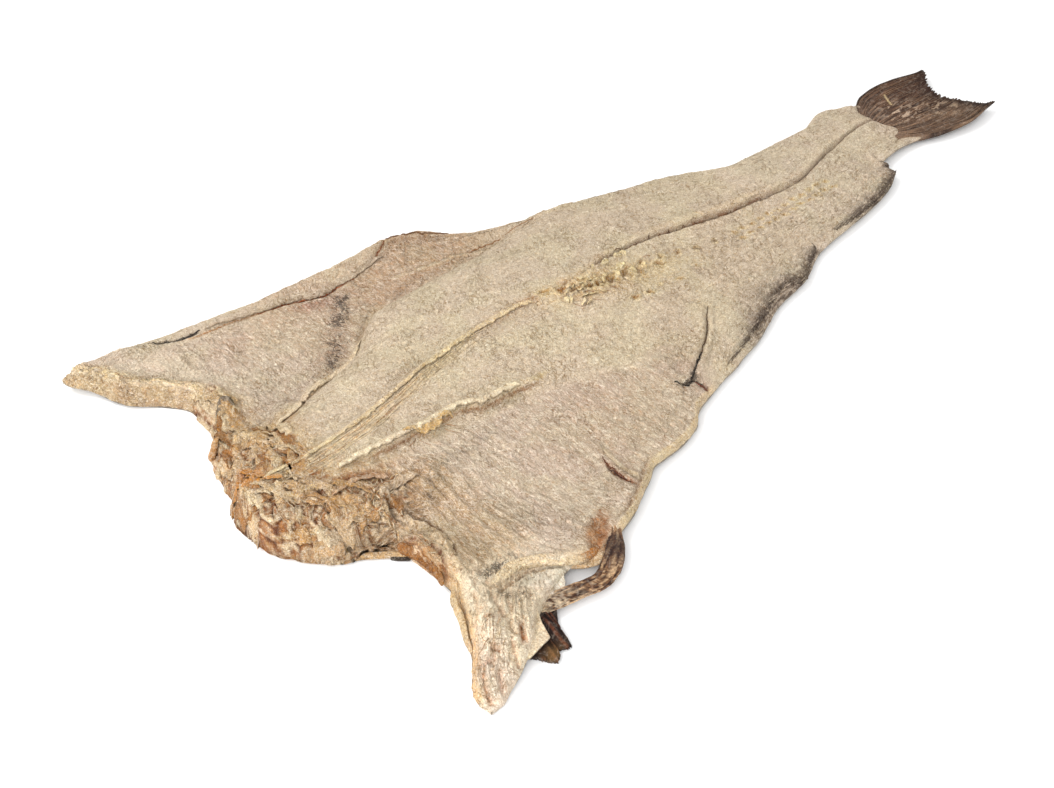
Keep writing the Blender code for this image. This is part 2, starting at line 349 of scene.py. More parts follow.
RIGHT_MEMBRANE = (  # torn edge of the lining over the right loin
    (30, -16), (45, -25), (74, -28), (100, -31), (119, -31), (130, -33), (141, -38),
    (166, -40), (200, -50), (240, -62),
)
fold_line = smooth_line((  # seen from above, the crease along the left flap's turned-up strip
    (40, 156), (70, 147), (95, 143), (114, 139), (129, 135), (144, 129), (155, 126),
    (174, 127), (193, 131), (206, 136), (216, 141), (592, 200),
))
SECOND_CREASE = (
    (192, 109), (206, 107), (231, 102), (241, 101), (252, 94), (268, 86),
    (288, 84), (308, 85), (330, 78),
)
SLIT = ((168, -106), (165, -113), (164, -121), (165, -130), (167, -136))
VENT_CRACK = ((252, -97), (262, -91), (276, -84), (290, -76), (300, -67), (309, -60))
VENT_BRANCH = ((243, -93), (247, -98), (252, -97), (256, -103), (257, -109))

LEFT_STAIN = ((112, 68), (118, 74), (129, 86), (140, 97), (148, 103), (155, 114))
STRAP_RIDGE = (
    (52, -138), (58, -135), (66, -133), (73, -132.5), (82, -134.5), (90, -139),
    (97, -144), (106, -149),
)
LUG_BLACK_LINE = ((44, 160), (52, 156), (60, 152), (72, 149))  # on the left lug's back edge

# Holes left by the backbone: (along, across, half length, half width, depth).
SOCKETS = (
    (236, 11, 5, 2.5, 2), (246, 6, 4, 2.5, 3), (254, 1, 4.5, 2.4, 4), (262, -2, 3.5, 2.2, 4),
    (270, -4, 3.5, 3.2, 5), (279, -6, 4.5, 4.2, 6), (291, -7, 4, 4.5, 6), (300, -10, 2.5, 3, 4),
    (308, -5, 2.4, 3, 5), (317, -12, 3, 3, 3), (323, -8, 1.8, 2.6, 4), (337, -10, 1.8, 2.4, 4),
    (350, -14, 1.6, 2.1, 3.5), (367, -16, 1.5, 2, 3), (278, -27, 3, 1.8, 2.5),
    (289, -29, 2.6, 1.6, 2.5), (300, -27, 2, 1.5, 1.5), (316, -31, 2.4, 1.6, 2),
    (336, -27, 2, 1.4, 2),
)
TAIL_PITS = tuple(
    (386 + 9 * i, row + 0.6 * math.sin(i * 2.1), 2.4, 1.3, 1.2) for row in (-18, -25) for i in range(12)
)


FIN_LEAN = 0.17  # how far the cut-off fins' rays lean from the fish's length
FIRST_FIN = (  # the dark fins' remains: free edge, then root, from head to tail
    (283, -99.5, 286, -96), (295, -96.5, 300, -89), (309, -93, 316, -82), (328, -87, 335, -74),
    (342, -83, 349, -66), (349, -79.5, 358, -61), (355.4, -78, 366, -57), (364.5, -75, 376, -54.5),
    (375, -75.5, 386, -53), (383, -78, 394, -53), (389, -77.3, 400, -53), (402, -70.5, 408, -53.5),
    (415, -64, 414, -54), (420, -61, 418, -54.3), (421, -56.5, 421, -54.6),
)
SECOND_FIN = (
    (446, -57, 448, -51), (460, -58, 464, -46), (475, -57, 484, -40), (491, -55.5, 503, -34),
    (503, -54, 514, -30), (518, -50.5, 524, -27), (530, -46.5, 529, -25.5), (538, -41.8, 532, -24.5),
    (536.2, -36.3, 533.5, -24), (540.2, -34, 535, -23.5), (539.6, -28, 536, -22.5),
)


def flesh_plan():
    """Plan positions of the surface's mesh: arrays (along, across) x and y."""
    shares = [np.zeros(1)]
    for (begin, _), (end, rows) in zip(BANDS, BANDS[1:]):
        shares.append(begin + (end - begin) * np.arange(1, rows + 1) / rows)
    shares = np.concatenate(shares)
    starts = []
    for line, _ in ACROSS:
        y = float(line(0.0))
        for _ in range(30):
            y = float(line(neck_cut(y)))
        starts.append(y)
    starts[0], starts[-1] = RIGHT_SIDE[0][1], LEFT_SIDE[0][1]
    xs, ys = [], []
    for k, (line, cells) in enumerate(ACROSS[:-1]):
        for step in range(cells):
            t = step / cells
            start = starts[k] * (1 - t) + starts[k + 1] * t
            begin = neck_cut(starts[k]), neck_cut(starts[k + 1])
            here = line(begin[0] * (1 - shares) + FLESH_END * shares)
            there = ACROSS[k + 1][0](begin[1] * (1 - shares) + FLESH_END * shares)
            xs.append(neck_cut(start) * (1 - shares) + FLESH_END * shares)
            ys.append(here * (1 - t) + there * t)
    xs.append(neck_cut(starts[-1]) * (1 - shares) + FLESH_END * shares)
    ys.append(left_side(LEFT_SIDE[0][0] * (1 - shares) + FLESH_END * shares))
    return np.stack(xs, 1), np.stack(ys, 1)


def skin_height(x, y):
    """Height of the skin over the table. It is flat under the loins."""
    share = np.clip((y - right_side(x)) / (left_side(x) - right_side(x)), 0, 1)
    fold = left_fold(x)
    past_fold = np.clip((y - fold) / np.maximum(left_side(x) - fold, 4), 0, 1)
    lip = left_lip(x) * past_fold**1.3
    left_edge = left_lift(x) * ease((share - 0.80) / 0.20)
    right_edge = right_lift(x) * ease((0.24 - share) / 0.24)
    return lip + left_edge + right_edge + TAIL_ROOT_Z * ease((x - 500) / 92)


def loin_thickness(x, y):
    """Thickness of the meat away from all edges."""
    middle = midline(x)
    left = y > middle
    reach = np.where(left, left_loin_edge(x) - middle, middle - right_loin_edge(x))
    share = np.clip(np.abs(y - middle) / reach, 0, 1)
    lobe = np.where(left, (1 - share**3) ** 0.6, 1 - share**2)
    crest = np.where(left, left_loin(x), right_loin(x))
    thick = flank(x) + (crest - flank(x)) * lobe
    from_neck = x - neck_cut(y)
    away_from_stump = ease((np.abs(y) - 62) / 30)
    thick = thick + 8 * hill(from_neck - 9, 11) * away_from_stump
    thick = thick + 7 * blob(x, y, (40, -150), (26, 18))
    return thick - 9 * blob(x, y, (34, -66), (16, 12))


def outline_distances(x, y):
    """Distances to the two long sides and to the neck's cut edge."""
    along = np.linspace(-14, FLESH_END, 600)
    left = np.stack([along, left_side(along)], 1)
    along = np.linspace(RIGHT_SIDE[0][0], FLESH_END, 600)
    right = np.stack([along, right_side(along)], 1)
    across = np.linspace(NECK_CUT[0][0], NECK_CUT[-1][0], 400)
    neck = np.stack([neck_cut(across), across], 1)
    return [nearest(x, y, line) for line in (left, right, neck)]


def nearest(x, y, line):
    """Distance from places to the nearest point of a finely divided curve."""
    tree = KDTree(len(line))
    for k, (a, b) in enumerate(line):
        tree.insert((a, b, 0), k)
    tree.balance()
    found = [tree.find((a, b, 0))[1] for a, b in zip(np.ravel(x), np.ravel(y))]
    near = np.array(found)
    best = np.full(near.shape, 1e9)
    places = np.stack([np.ravel(x), np.ravel(y)], 1)
    for start in (np.maximum(near - 1, 0), np.minimum(near, len(line) - 2)):
        run = line[start + 1] - line[start]
        t = ((places - line[start]) * run).sum(1) / (run**2).sum(1)
        gap = places - line[start] - run * np.clip(t, 0, 1)[:, None]
        best = np.minimum(best, np.hypot(gap[:, 0], gap[:, 1]))
    return best.reshape(np.shape(x))


class Surface:
    """The flesh's upper surface as a grid, with the masks that shape and colour it."""

    def __init__(self):
        self.x, self.y = flesh_plan()
        x, y = self.x, self.y
        self.from_left, self.from_right, self.from_neck = outline_distances(x, y)
        self.from_side = np.minimum(self.from_left, self.from_right)
        self.tint = np.broadcast_to(srgb(214, 199, 174), x.shape + (3,)).copy()
        self.stain = np.zeros_like(x)  # where the shader breaks dark spots into the meat
        self.dx = np.zeros_like(x)
        self.dy = np.zeros_like(x)
        self.z = self.base()

    def base(self):
        """The smooth body before its details: thickness over the skin, rounded edges."""
        x, y = self.x, self.y
        at_stump = np.exp(-(((y + 2) / 45) ** 4))
        neck_rounding = NECK_ROUNDING + (STUMP_ROUNDING - NECK_ROUNDING) * at_stump
        rounding = quarter_round(self.from_side, SIDE_ROUNDING)
        rounding = rounding * quarter_round(self.from_neck, neck_rounding)
        tail_end = tail_boundary(y) - x
        rounding = rounding * (0.25 + 0.75 * quarter_round(np.maximum(tail_end, 0), 9))
        self.rounding = rounding
        thick = loin_thickness(x, y)
        for tip_x, tip_y, reach in THIN_TIPS:
            from_tip = np.hypot(x - tip_x, y - tip_y)
            thick = thick * (0.5 + 0.5 * ease(from_tip / reach))
        thin = between(x, 262, 575, 50) * ease((26 - self.from_right) / 26)
        thick = thick * (1 - 0.6 * thin)
        return skin_height(x, y) + RIM + (thick - RIM) * rounding

    def paint(self, mask, colour, strength=1.0):
        """Lays a screen colour over the meat where the mask is 1."""
        self.tint = blended(self.tint, mask * strength, colour)

    def patch(self, centre, radii, angle, colour, strength):
        """Paints a soft oval."""
        self.paint(blob(self.x, self.y, centre, radii, angle), colour, strength)

    def darken(self, mask, loss):
        """Takes away shares of red, green and blue where the mask is 1."""
        self.tint = self.tint * (1 - mask[..., None] * np.array(loss))

    def spot(self, mask):
        """Lets the shader break dark spots into the meat where the mask is 1."""
        self.stain = np.maximum(self.stain, np.clip(mask, 0, 1))

    def crease(self, points, depth, width, colour, strength, stain, fade=0.12):
        """A groove along a curve with a colour painted along it over the width stain: mostly painted
        shade in the groove, in a few places a real stain.

        fade is the share of its length over which either end runs out.
        """
        near, _, share = to_line_near(self.x, self.y, points, 6 * max(width, stain))
        ends = ease(share / fade) * ease((1 - share) / fade)
        wobble = 1 + 0.5 * cloud(self.x, self.y, 0, 6, 90 + len(points), 2)
        self.z = self.z - depth * hill(near, width) * ends * wobble
        self.paint(hill(near, stain) * ends * wobble, colour, strength)


def to_line_near(x, y, points, margin):
    """Like to_line, but only worked out near the curve; 1000 elsewhere."""
    points = np.array([p[:2] for p in points], float)
    low, high = points.min(0) - margin, points.max(0) + margin
    close = (x > low[0]) & (x < high[0]) & (y > low[1]) & (y < high[1])
    near, side, share = np.full(x.shape, 1e3), np.full(x.shape, 1e3), np.zeros(x.shape)
    near[close], side[close], share[close] = to_line(x[close], y[close], points)
    return near, side, share


def shape_loins(s):
    """The long forms: the midline's ridge and groove, the loins' own swell."""
    x, y = s.x, s.y
    inside = s.rounding**2
    s.z += inside * (1.2 * cloud(x, y, 0, 48, 1, 2) + 0.8 * cloud(x / 1.6, y, 0, 16, 2, 2))
    curd = ridges(x / 1.3, y, 0, 5.5, 5, 3, 0.6)
    s.z += inside * 0.8 * (curd - 0.4)
    off = y - midline(x)
    # In front a membrane ridge, with a valley on its left.
    in_front = between(x, 22, 236, 22)
    ragged = off + 0.8 * cloud(x, y, 0, 9, 3, 3)
    s.z += in_front * inside * 1.2 * hill(ragged, 2.2)
    s.z += between(x, 8, 140, 26) * inside * 1.9 * ease((4.2 - np.abs(ragged + 2.2)) / 2.2)
    s.z -= between(x, 26, 150, 24) * 1.8 * hill(off - 6.0, 2.6) * inside
    # Painted shade in the valley left of the ridge.
    s.paint(between(x, 34, 150, 20) * hill(off - 5.6, 2.4), (196, 182, 158), 0.6)
    s.z -= between(x, 30, 230, 30) * 0.9 * hill(off + 5, 3) * inside
    strand = ridges(x / 16, off / 1.5, 0, 1, 6, 2)
    s.z += between(x, 14, 150, 20) * hill(off + 5, 7) * (strand - 0.4) * 1.2 * inside
    s.paint(between(x, 8, 170, 24) * ease((6.5 - np.abs(ragged + 2.5)) / 2), (248, 230, 198), 0.9)
    # Painted shadow along the band's right edge.
    s.paint(between(x, 8, 140, 20) * hill(ragged + 7.2, 0.8), (170, 122, 70), 0.8)
    gaps = ease((0.35 - strand) / 0.2)
    # Painted shade between the strands.
    s.paint(between(x, 20, 120, 24) * hill(off + 6, 6) * gaps, (204, 174, 130), 0.6)
    # Towards the tail a thin crack below the left loin's rounded brow.
    crack = between(x, 282, 582, 30)
    off = off + 0.9 * cloud(x, 0, 0, 13, 7, 3)
    step = np.maximum(left_loin(x) - right_loin(x), 0) * between(x, 240, 590, 40)
    s.z -= (off > 0) * step * (1 - quarter_round(np.maximum(off, 0), 8)) * inside
    s.z += backbone_groove(x) * 0.5 * hill(off, 5) * between(x, 200, 582, 60)
    s.z -= crack * 2.0 * hill(off, 0.8)
    # Painted light lifts the shade on the left loin's wall above the crack; the crack's dark line is
    # painted shade.
    s.paint(crack * hill(off - 3.4, 3.0), (228, 208, 174), 0.8)
    s.paint(crack * hill(off + 0.1, 0.8), (124, 74, 34), 1.0)
    specks = ease((ridges(x, y, 0, 3, 15, 2) - 0.5) / 0.2) * between(x, 176, 250, 16)
    s.paint(specks * hill(off + 0.5, 2.6), (176, 122, 66), 0.9)


def shape_left(s):
    """The left flap: the collar's torn edge, the lining and the turned-up strip."""
    x, y = s.x, s.y
    inside = s.rounding**2
    rag = 2.2 * cloud(x, y, 0, 10, 11, 3, 0.65)
    # The collar's tissue slopes up over the loin's shoulder to a torn edge.
    edge_y = collar_edge(x)
    up = y - edge_y + rag
    shoulder = skin_height(x, edge_y) + loin_thickness(x, edge_y)
    torn = between(x, 26, 134, 16)
    tissue = shoulder + 0.8 - 0.55 * np.maximum(up, 0)
    s.z += torn * ease((up + 0.6) / 0.9) * np.maximum(tissue - s.z, 0) * inside
    s.z -= torn * 0.3 * hill(up + 1.3, 1.0) * inside
    broken = ease((cloud(x, y, 0, 14, 13, 2) + 0.35) / 0.3)
    # Painted shadow below the torn edge: orange-brown in front, tan further back.
    s.paint(between(x, 40, 88, 12) * hill(up + 0.9, 1.0) * broken, (190, 136, 84), 0.8)
    s.paint(between(x, 88, 150, 20) * hill(up + 0.9, 0.8), (190, 158, 116), 0.6)
    off = y - left_crease(x)
    # Further back the lining ends at a soft groove along the loin.
    s.z -= between(x, 140, 300, 24) * 2.0 * hill(off - 1, 4) * inside
    # Painted shade in the groove.
    s.paint(between(x, 175, 300, 20) * hill(off, 2.2), (178, 156, 126), 0.6)
    # The fold, and the pale strip that turns up beyond it.
    line = fold_line(x)
    fold = y - line + 0.5 * cloud(x, y, 0, 8, 14, 2)
    folded = between(x, 60, 214, 14)
    deep = between(x, 112, 158, 14)
    s.z -= folded * (0.6 + 1.2 * deep) * hill(fold + 0.4, 1.1)
    s.z += folded * 1.2 * hill(fold - 2.6, 2.0)
    s.dy -= folded * 0.7 * hill(fold - 1.4, 1.3)
    s.paint(folded * ease((fold - 0.6) / 1.2), (213, 199, 178), 0.9)
    # Painted shade in the fold, darkest where it is deepest, and in the second crease.
    s.paint(folded * hill(fold + 0.3, 0.7), (184, 128, 80), 0.8)
    s.paint(deep * hill(fold + 0.4, 0.8), (120, 62, 30), 1.0)
    s.crease(SECOND_CREASE, 1.5, 1.1, (168, 114, 64), 0.85, 1.1)
    # The flap's rear corner, with painted shade in its crease and a greyer patch of painted shade under
    # its curled edge, broken by dark spots.
    s.crease(((208, 137), (220, 136), (232, 132), (246, 124), (257, 117)), 1.4, 1.2,
             (112, 82, 58), 0.9, 1.2)
    s.patch((222, 131), (12, 4), -22, (164, 148, 132), 0.75)
    s.spot(0.35 * blob(x, y, (222, 131), (12, 4), -22))
    s.paint(between(x, 206, 262, 16) * hill(s.from_left - 1, 2), (208, 186, 150), 0.8)
    # Belly lining: greyer and pinker, with the dark stain.
    lining = between(x, 44, 190, 30) * ease((off - 3) / 10) * ease(-(fold + 1) / 5)
    s.lining_left = between(x, 40, 262, 30) * ease((off - 1) / 8) * ease(-(fold + 1) / 3)
    s.paint(lining, (208, 191, 173), 0.8)
    s.paint(blob(x, y, (92, 124), (30, 13)) * lining, (206, 176, 152), 0.6)
    s.paint(blob(x, y, (140, 124), (14, 8), -20) * lining, (184, 144, 124), 0.85)
    s.paint(between(x, 160, 262, 20) * ease((off - 3) / 8) * ease(-fold / 5), (200, 172, 140), 0.75)
    near = to_line_near(x, y, LEFT_STAIN, 30)[0]
    s.paint(hill(near, 11), (172, 150, 132), 0.5)
    patchy = 0.8 + 0.9 * cloud(x, y, 0, 12, 21, 3, 0.6)
    s.spot(hill(near, 8.5) * patchy * 0.72)
    grain = cloud(x / 2.4, y / 14, 0, 1, 23, 3)
    matted = ridges(x, y, 0, 8, 24, 3, 0.6)
    s.z += s.lining_left * (0.7 * grain + 1.3 * (matted - 0.4)) * inside
    # The matted lining's hollows are painted darker: partly its own tone, partly painted shade.
    s.paint(s.lining_left * ease((0.3 - matted) / 0.25), (178, 152, 124), 0.5)
    browner = ease((off + 2) / 6) * between(x, 106, 280, 30)
    s.darken(browner, (0.06, 0.13, 0.17))


def shape_left_collar(s):
    """The left lug: a thick fibrous front, pale top and torn tissue by the neck."""
    x, y = s.x, s.y
    lug = between(y, 84, 190, 24) * ease((46 - s.from_neck) / 20)
    s.paint(lug, (236, 221, 204), 0.85)
    along = (x + 10) * 0.42 + (170 - y) * 0.91  # down the lug's front edge
    away = s.from_neck
    fibres = ridges(along / 9, away / 1.5, 0, 1, 31, 3)
    s.z += lug * ease((18 - away) / 8) * (fibres - 0.4) * 2.0 * s.rounding
    # The fibres' crests are painted lighter and their hollows darker: partly their own colour, partly
    # painted highlight and shade.
    s.paint(lug * hill(away - 8, 5) * ease((fibres - 0.1) / 0.3), (238, 214, 164), 0.9)
    s.paint(lug * hill(away - 12, 5) * ease((0.25 - fibres) / 0.15), (200, 160, 112), 0.7)
    # Painted shade on the lug's steep front face, mottled.
    s.paint(between(y, 92, 176, 12) * ease((6 - away) / 3), (190, 162, 122), 0.9)
    mottled = ease((0.1 - cloud(x, y, s.z, 7, 36, 3, 0.6)) / 0.2)
    s.paint(between(y, 92, 176, 12) * ease((5 - away) / 3) * mottled, (176, 152, 118), 0.6)
    folds = ridges(x / 2.2, y, 0, 11, 33, 2)
    s.z += lug * (folds - 0.4) * 2.2 * s.rounding
    # Torn, orange-brown flakes between lug and neck.
    torn = between(y, 34, 92, 14) * ease((34 - away) / 16)
    flakes = ridges(x, y, 0, 7, 35, 3)
    s.z += torn * (flakes - 0.35) * 1.6 * s.rounding
    s.paint(torn, (222, 196, 158), 0.7)
    # Darker between the flakes: partly their orange-brown, partly painted shade.
    s.paint(torn * ease((0.3 - flakes) / 0.25), (178, 128, 80), 0.7)
    s.paint(between(y, 40, 64, 12) * ease((11 - away) / 6), (210, 156, 92), 0.7)
    # The grey curl, with painted shade in its crevices.
    s.z += 2.4 * blob(x, y, (40, 79), (7, 3), -12) - 3.4 * blob(x, y, (34, 73), (6, 2.4), 8)
    s.patch((41, 79), (7, 2.4), -14, (136, 124, 110), 0.95)
    s.patch((34, 72), (4.5, 1.8), 8, (84, 46, 24), 1.0)
    s.paint(blob(x, y, (28, 84), (3, 5), 10) * ease((0.6 - flakes) / 0.3), (140, 92, 54), 0.8)
    # The lug's outer back edge: a grey patch and a black line.
    s.paint(blob(x, y, (40, 159), (16, 5), -8) * ease(flakes * 2), (176, 162, 146), 0.8)
    s.spot(0.5 * blob(x, y, (46, 158), (12, 4), -10))
    s.crease(LUG_BLACK_LINE, 1.6, 0.9, (58, 52, 48), 0.95, 0.9)
    s.z += 2.2 * blob(x, y, (24, 164), (10, 4), -8)


def torn_flakes():
    """Places for the torn layers of the stump and collar: edge, reach, lift, colour."""
    chance = np.random.default_rng(23)
    flakes = []
    for k in range(76):
        if k < 62:
            y, back = chance.uniform(-60, 42), 1 + 38 * chance.uniform() ** 1.2
        else:
            y, back = chance.uniform(40, 94), chance.uniform(1, 18)
        slope = float(neck_cut(y + 3) - neck_cut(y - 3)) / 6
        turn = math.atan2(-1, -slope) + chance.normal(0, 0.35)
        run = np.array((math.cos(turn), math.sin(turn)))
        front = np.array((run[1], -run[0]))
        centre = np.array((float(neck_cut(y)) + back, y))
        length, bend = chance.uniform(10, 25), chance.normal(0, 0.12)
        steps = np.linspace(-0.5, 0.5, 5)
        edge = [centre + run * length * t + front * length * bend * (1 - 4 * t * t) for t in steps]
        stained = math.hypot((centre[0] - 8) / 9, (centre[1] + 1) / 11) < 1
        colours = ((226, 206, 172), (214, 186, 144), (196, 154, 98), (168, 118, 62), (208, 174, 124))
        colour = (206, 142, 60) if stained else colours[chance.integers(5)]
        flakes.append((edge, front, chance.uniform(5, 9), chance.uniform(0.8, 2.4), colour))
    return flakes


FLAKES = torn_flakes()


def shape_neck(s):
    """The stump: lumps of torn meat, with orange-brown colour and painted shade in their crevices."""
    x, y = s.x, s.y
    away = s.from_neck
    stump = ease((58 - away) / 30) * between(y, -66, 44, 24)
    lumps = ridges(x, y, s.z, 15, 41, 3, 0.55)
    fine = ridges(x, y, s.z, 5, 44, 2)
    s.z += stump * s.rounding * ((lumps - 0.4) * 3.2 + (fine - 0.4) * 0.4)
    s.paint(stump, (212, 178, 132), 0.95)
    # The lumps' tops are painted lighter and their crevices darker: partly the meat's own cream and
    # orange-brown, partly painted highlight and shade.
    s.paint(stump * ease((lumps - 0.5) / 0.2), (246, 230, 196), 0.85)
    s.paint(stump * ease((0.34 - lumps) / 0.2), (160, 104, 52), 0.85)
    whole = s.z.copy()
    # Painted shadow on the meat under each torn layer's free edge, darker under the higher ones.
    for edge, front, _, lift, _ in FLAKES:
        brown = (78, 34, 10) if lift > 1.3 else (120, 64, 22)
        s.crease([point + 1.3 * front for point in edge], 2.0, 1.0, brown, 1.0, 1.7)
    rusty = stump * ease((cloud(x, y, s.z, 12, 46, 2) + 0.28) / 0.3)
    s.z = np.maximum(s.z, whole - 2.6 * stump)
    # Cream lump on the left, with the orange stain.
    s.patch((9, 16), (10, 20), 24, (230, 202, 152), 0.85)
    s.paint(blob(x, y, (9, 1), (6, 8)) * ease(fine * 2.4), (206, 134, 44), 1.0)
    s.patch((6, -8), (4, 4), 0, (190, 100, 34), 0.9)
    s.paint(blob(x, y, (-1, -15), (7, 9)) * ease((0.7 - fine) / 0.4), (140, 74, 44), 0.8)
    # Painted shade in the crease round the lump.
    s.crease(((27, 12), (22, 20), (24, 30), (23, 38), (14, 37)), 2.4, 1.3, (136, 70, 26), 1.0, 1.5)
    # The yellow membrane's root, a chunk behind the crevice and the red-brown part.
    s.patch((18, -6), (14, 5), -12, (222, 196, 140), 0.9)
    s.z += 2.0 * blob(x, y, (19, -22), (8, 3.4), -12)
    s.patch((19, -22), (9, 4), -12, (224, 198, 150), 0.8)
    # Painted shade in the crevice.
    s.crease(((10, -25), (14, -26), (18, -29), (25, -27), (30, -30)), 3.0, 1.2, (92, 44, 22), 1.0, 1.3)
    s.paint(blob(x, y, (42, -33), (17, 5), -10) * ease((0.75 - fine) / 0.4), (168, 116, 84), 0.85)
    s.paint(blob(x, y, (38, -48), (6, 4)) * ease((0.8 - fine) / 0.4), (120, 66, 40), 0.9)
    s.patch((47, -44), (4.5, 3), 30, (232, 224, 208), 0.95)
    s.patch((14, -34), (9, 7), 0, (204, 186, 158), 0.7)
    # Layers show along the foot of the stump, with painted shade between them.
    layer = np.sin(s.z * 1.5 + 2.4 * cloud(x, y, 0, 12, 48))
    s.z += stump * ease((15 - s.z) / 6) * 1.1 * layer
    s.paint(stump * ease((15 - s.z) / 6) * ease((-layer - 0.45) / 0.3), (128, 76, 38), 0.9)
    # Painted shade low on the stump, by the table.
    s.paint(stump * ease((4.5 - s.z) / 3), (160, 128, 94), 0.4)
    s.darken(rusty, (0.14, 0.24, 0.42))
    # The darker parts, the crevices' painted shade among them, lose the most green and blue and so turn
    # the brownest.
    top = ease((s.tint[..., 1:2] - 0.22) / 0.2)
    loss = np.array([0.14, 0.15, 0.16]) * top + np.array([0.20, 0.33, 0.50]) * (1 - top)
    s.darken(stump, loss)
    # Painted shade in the hollow under the arch.
    s.crease(((16, -54), (24, -55), (31, -57), (38, -61), (44, -67), (47, -73)), 9, 3.2,
             (36, 20, 12), 1.0, 3.4, 0.12)


def shape_right_collar(s):
    """Curved folds of muscle round the hollow, and the rim's orange-brown strip."""
    x, y = s.x, s.y
    away = s.from_neck
    swirl = np.hypot(x - 34, (y + 74) * 0.6)
    folds = between(y, -124, -44, 22) * ease((62 - away) / 22)
    wave = np.sin(swirl / 4.2 * math.pi + 2.4 * cloud(x, y, 0, 22, 51))
    s.z += folds * 0.7 * wave * s.rounding
    s.paint(folds, (196, 168, 128), 0.7)
    # The folds' troughs are painted darker: partly the meat's brown, partly painted shade.
    s.paint(folds * ease(-wave - 0.4), (168, 128, 86), 0.6)
    # Painted shade in the creases round the hollow and along the rim.
    s.crease(((76, -50), (66, -49), (60, -49), (55, -52), (53, -60), (60, -70)), 2.8, 1.3,
             (128, 74, 38), 0.95, 1.4)
    s.crease(((58, -64), (66, -74), (65, -86), (61, -97), (55, -108)), 2.4, 1.4,
             (132, 76, 40), 0.85, 1.2)
    s.crease(((74, -56), (80, -74), (78, -94), (68, -112)), 1.3, 1.6, (186, 160, 128), 0.5, 1.6)
    s.crease(((70, -90), (64, -104), (58, -118)), 1.1, 1.0, (168, 126, 86), 0.6, 1.0)
    s.z += between(y, -118, -66, 12) * 2.2 * hill(away - 5, 2.6)
    s.paint(between(y, -114, -68, 10) * ease((6 - away) / 3), (178, 130, 74), 0.9)
    s.crease(((49, -74), (52, -86), (52, -100), (46, -112)), 2.4, 1.0, (112, 52, 24), 0.95, 1.1)


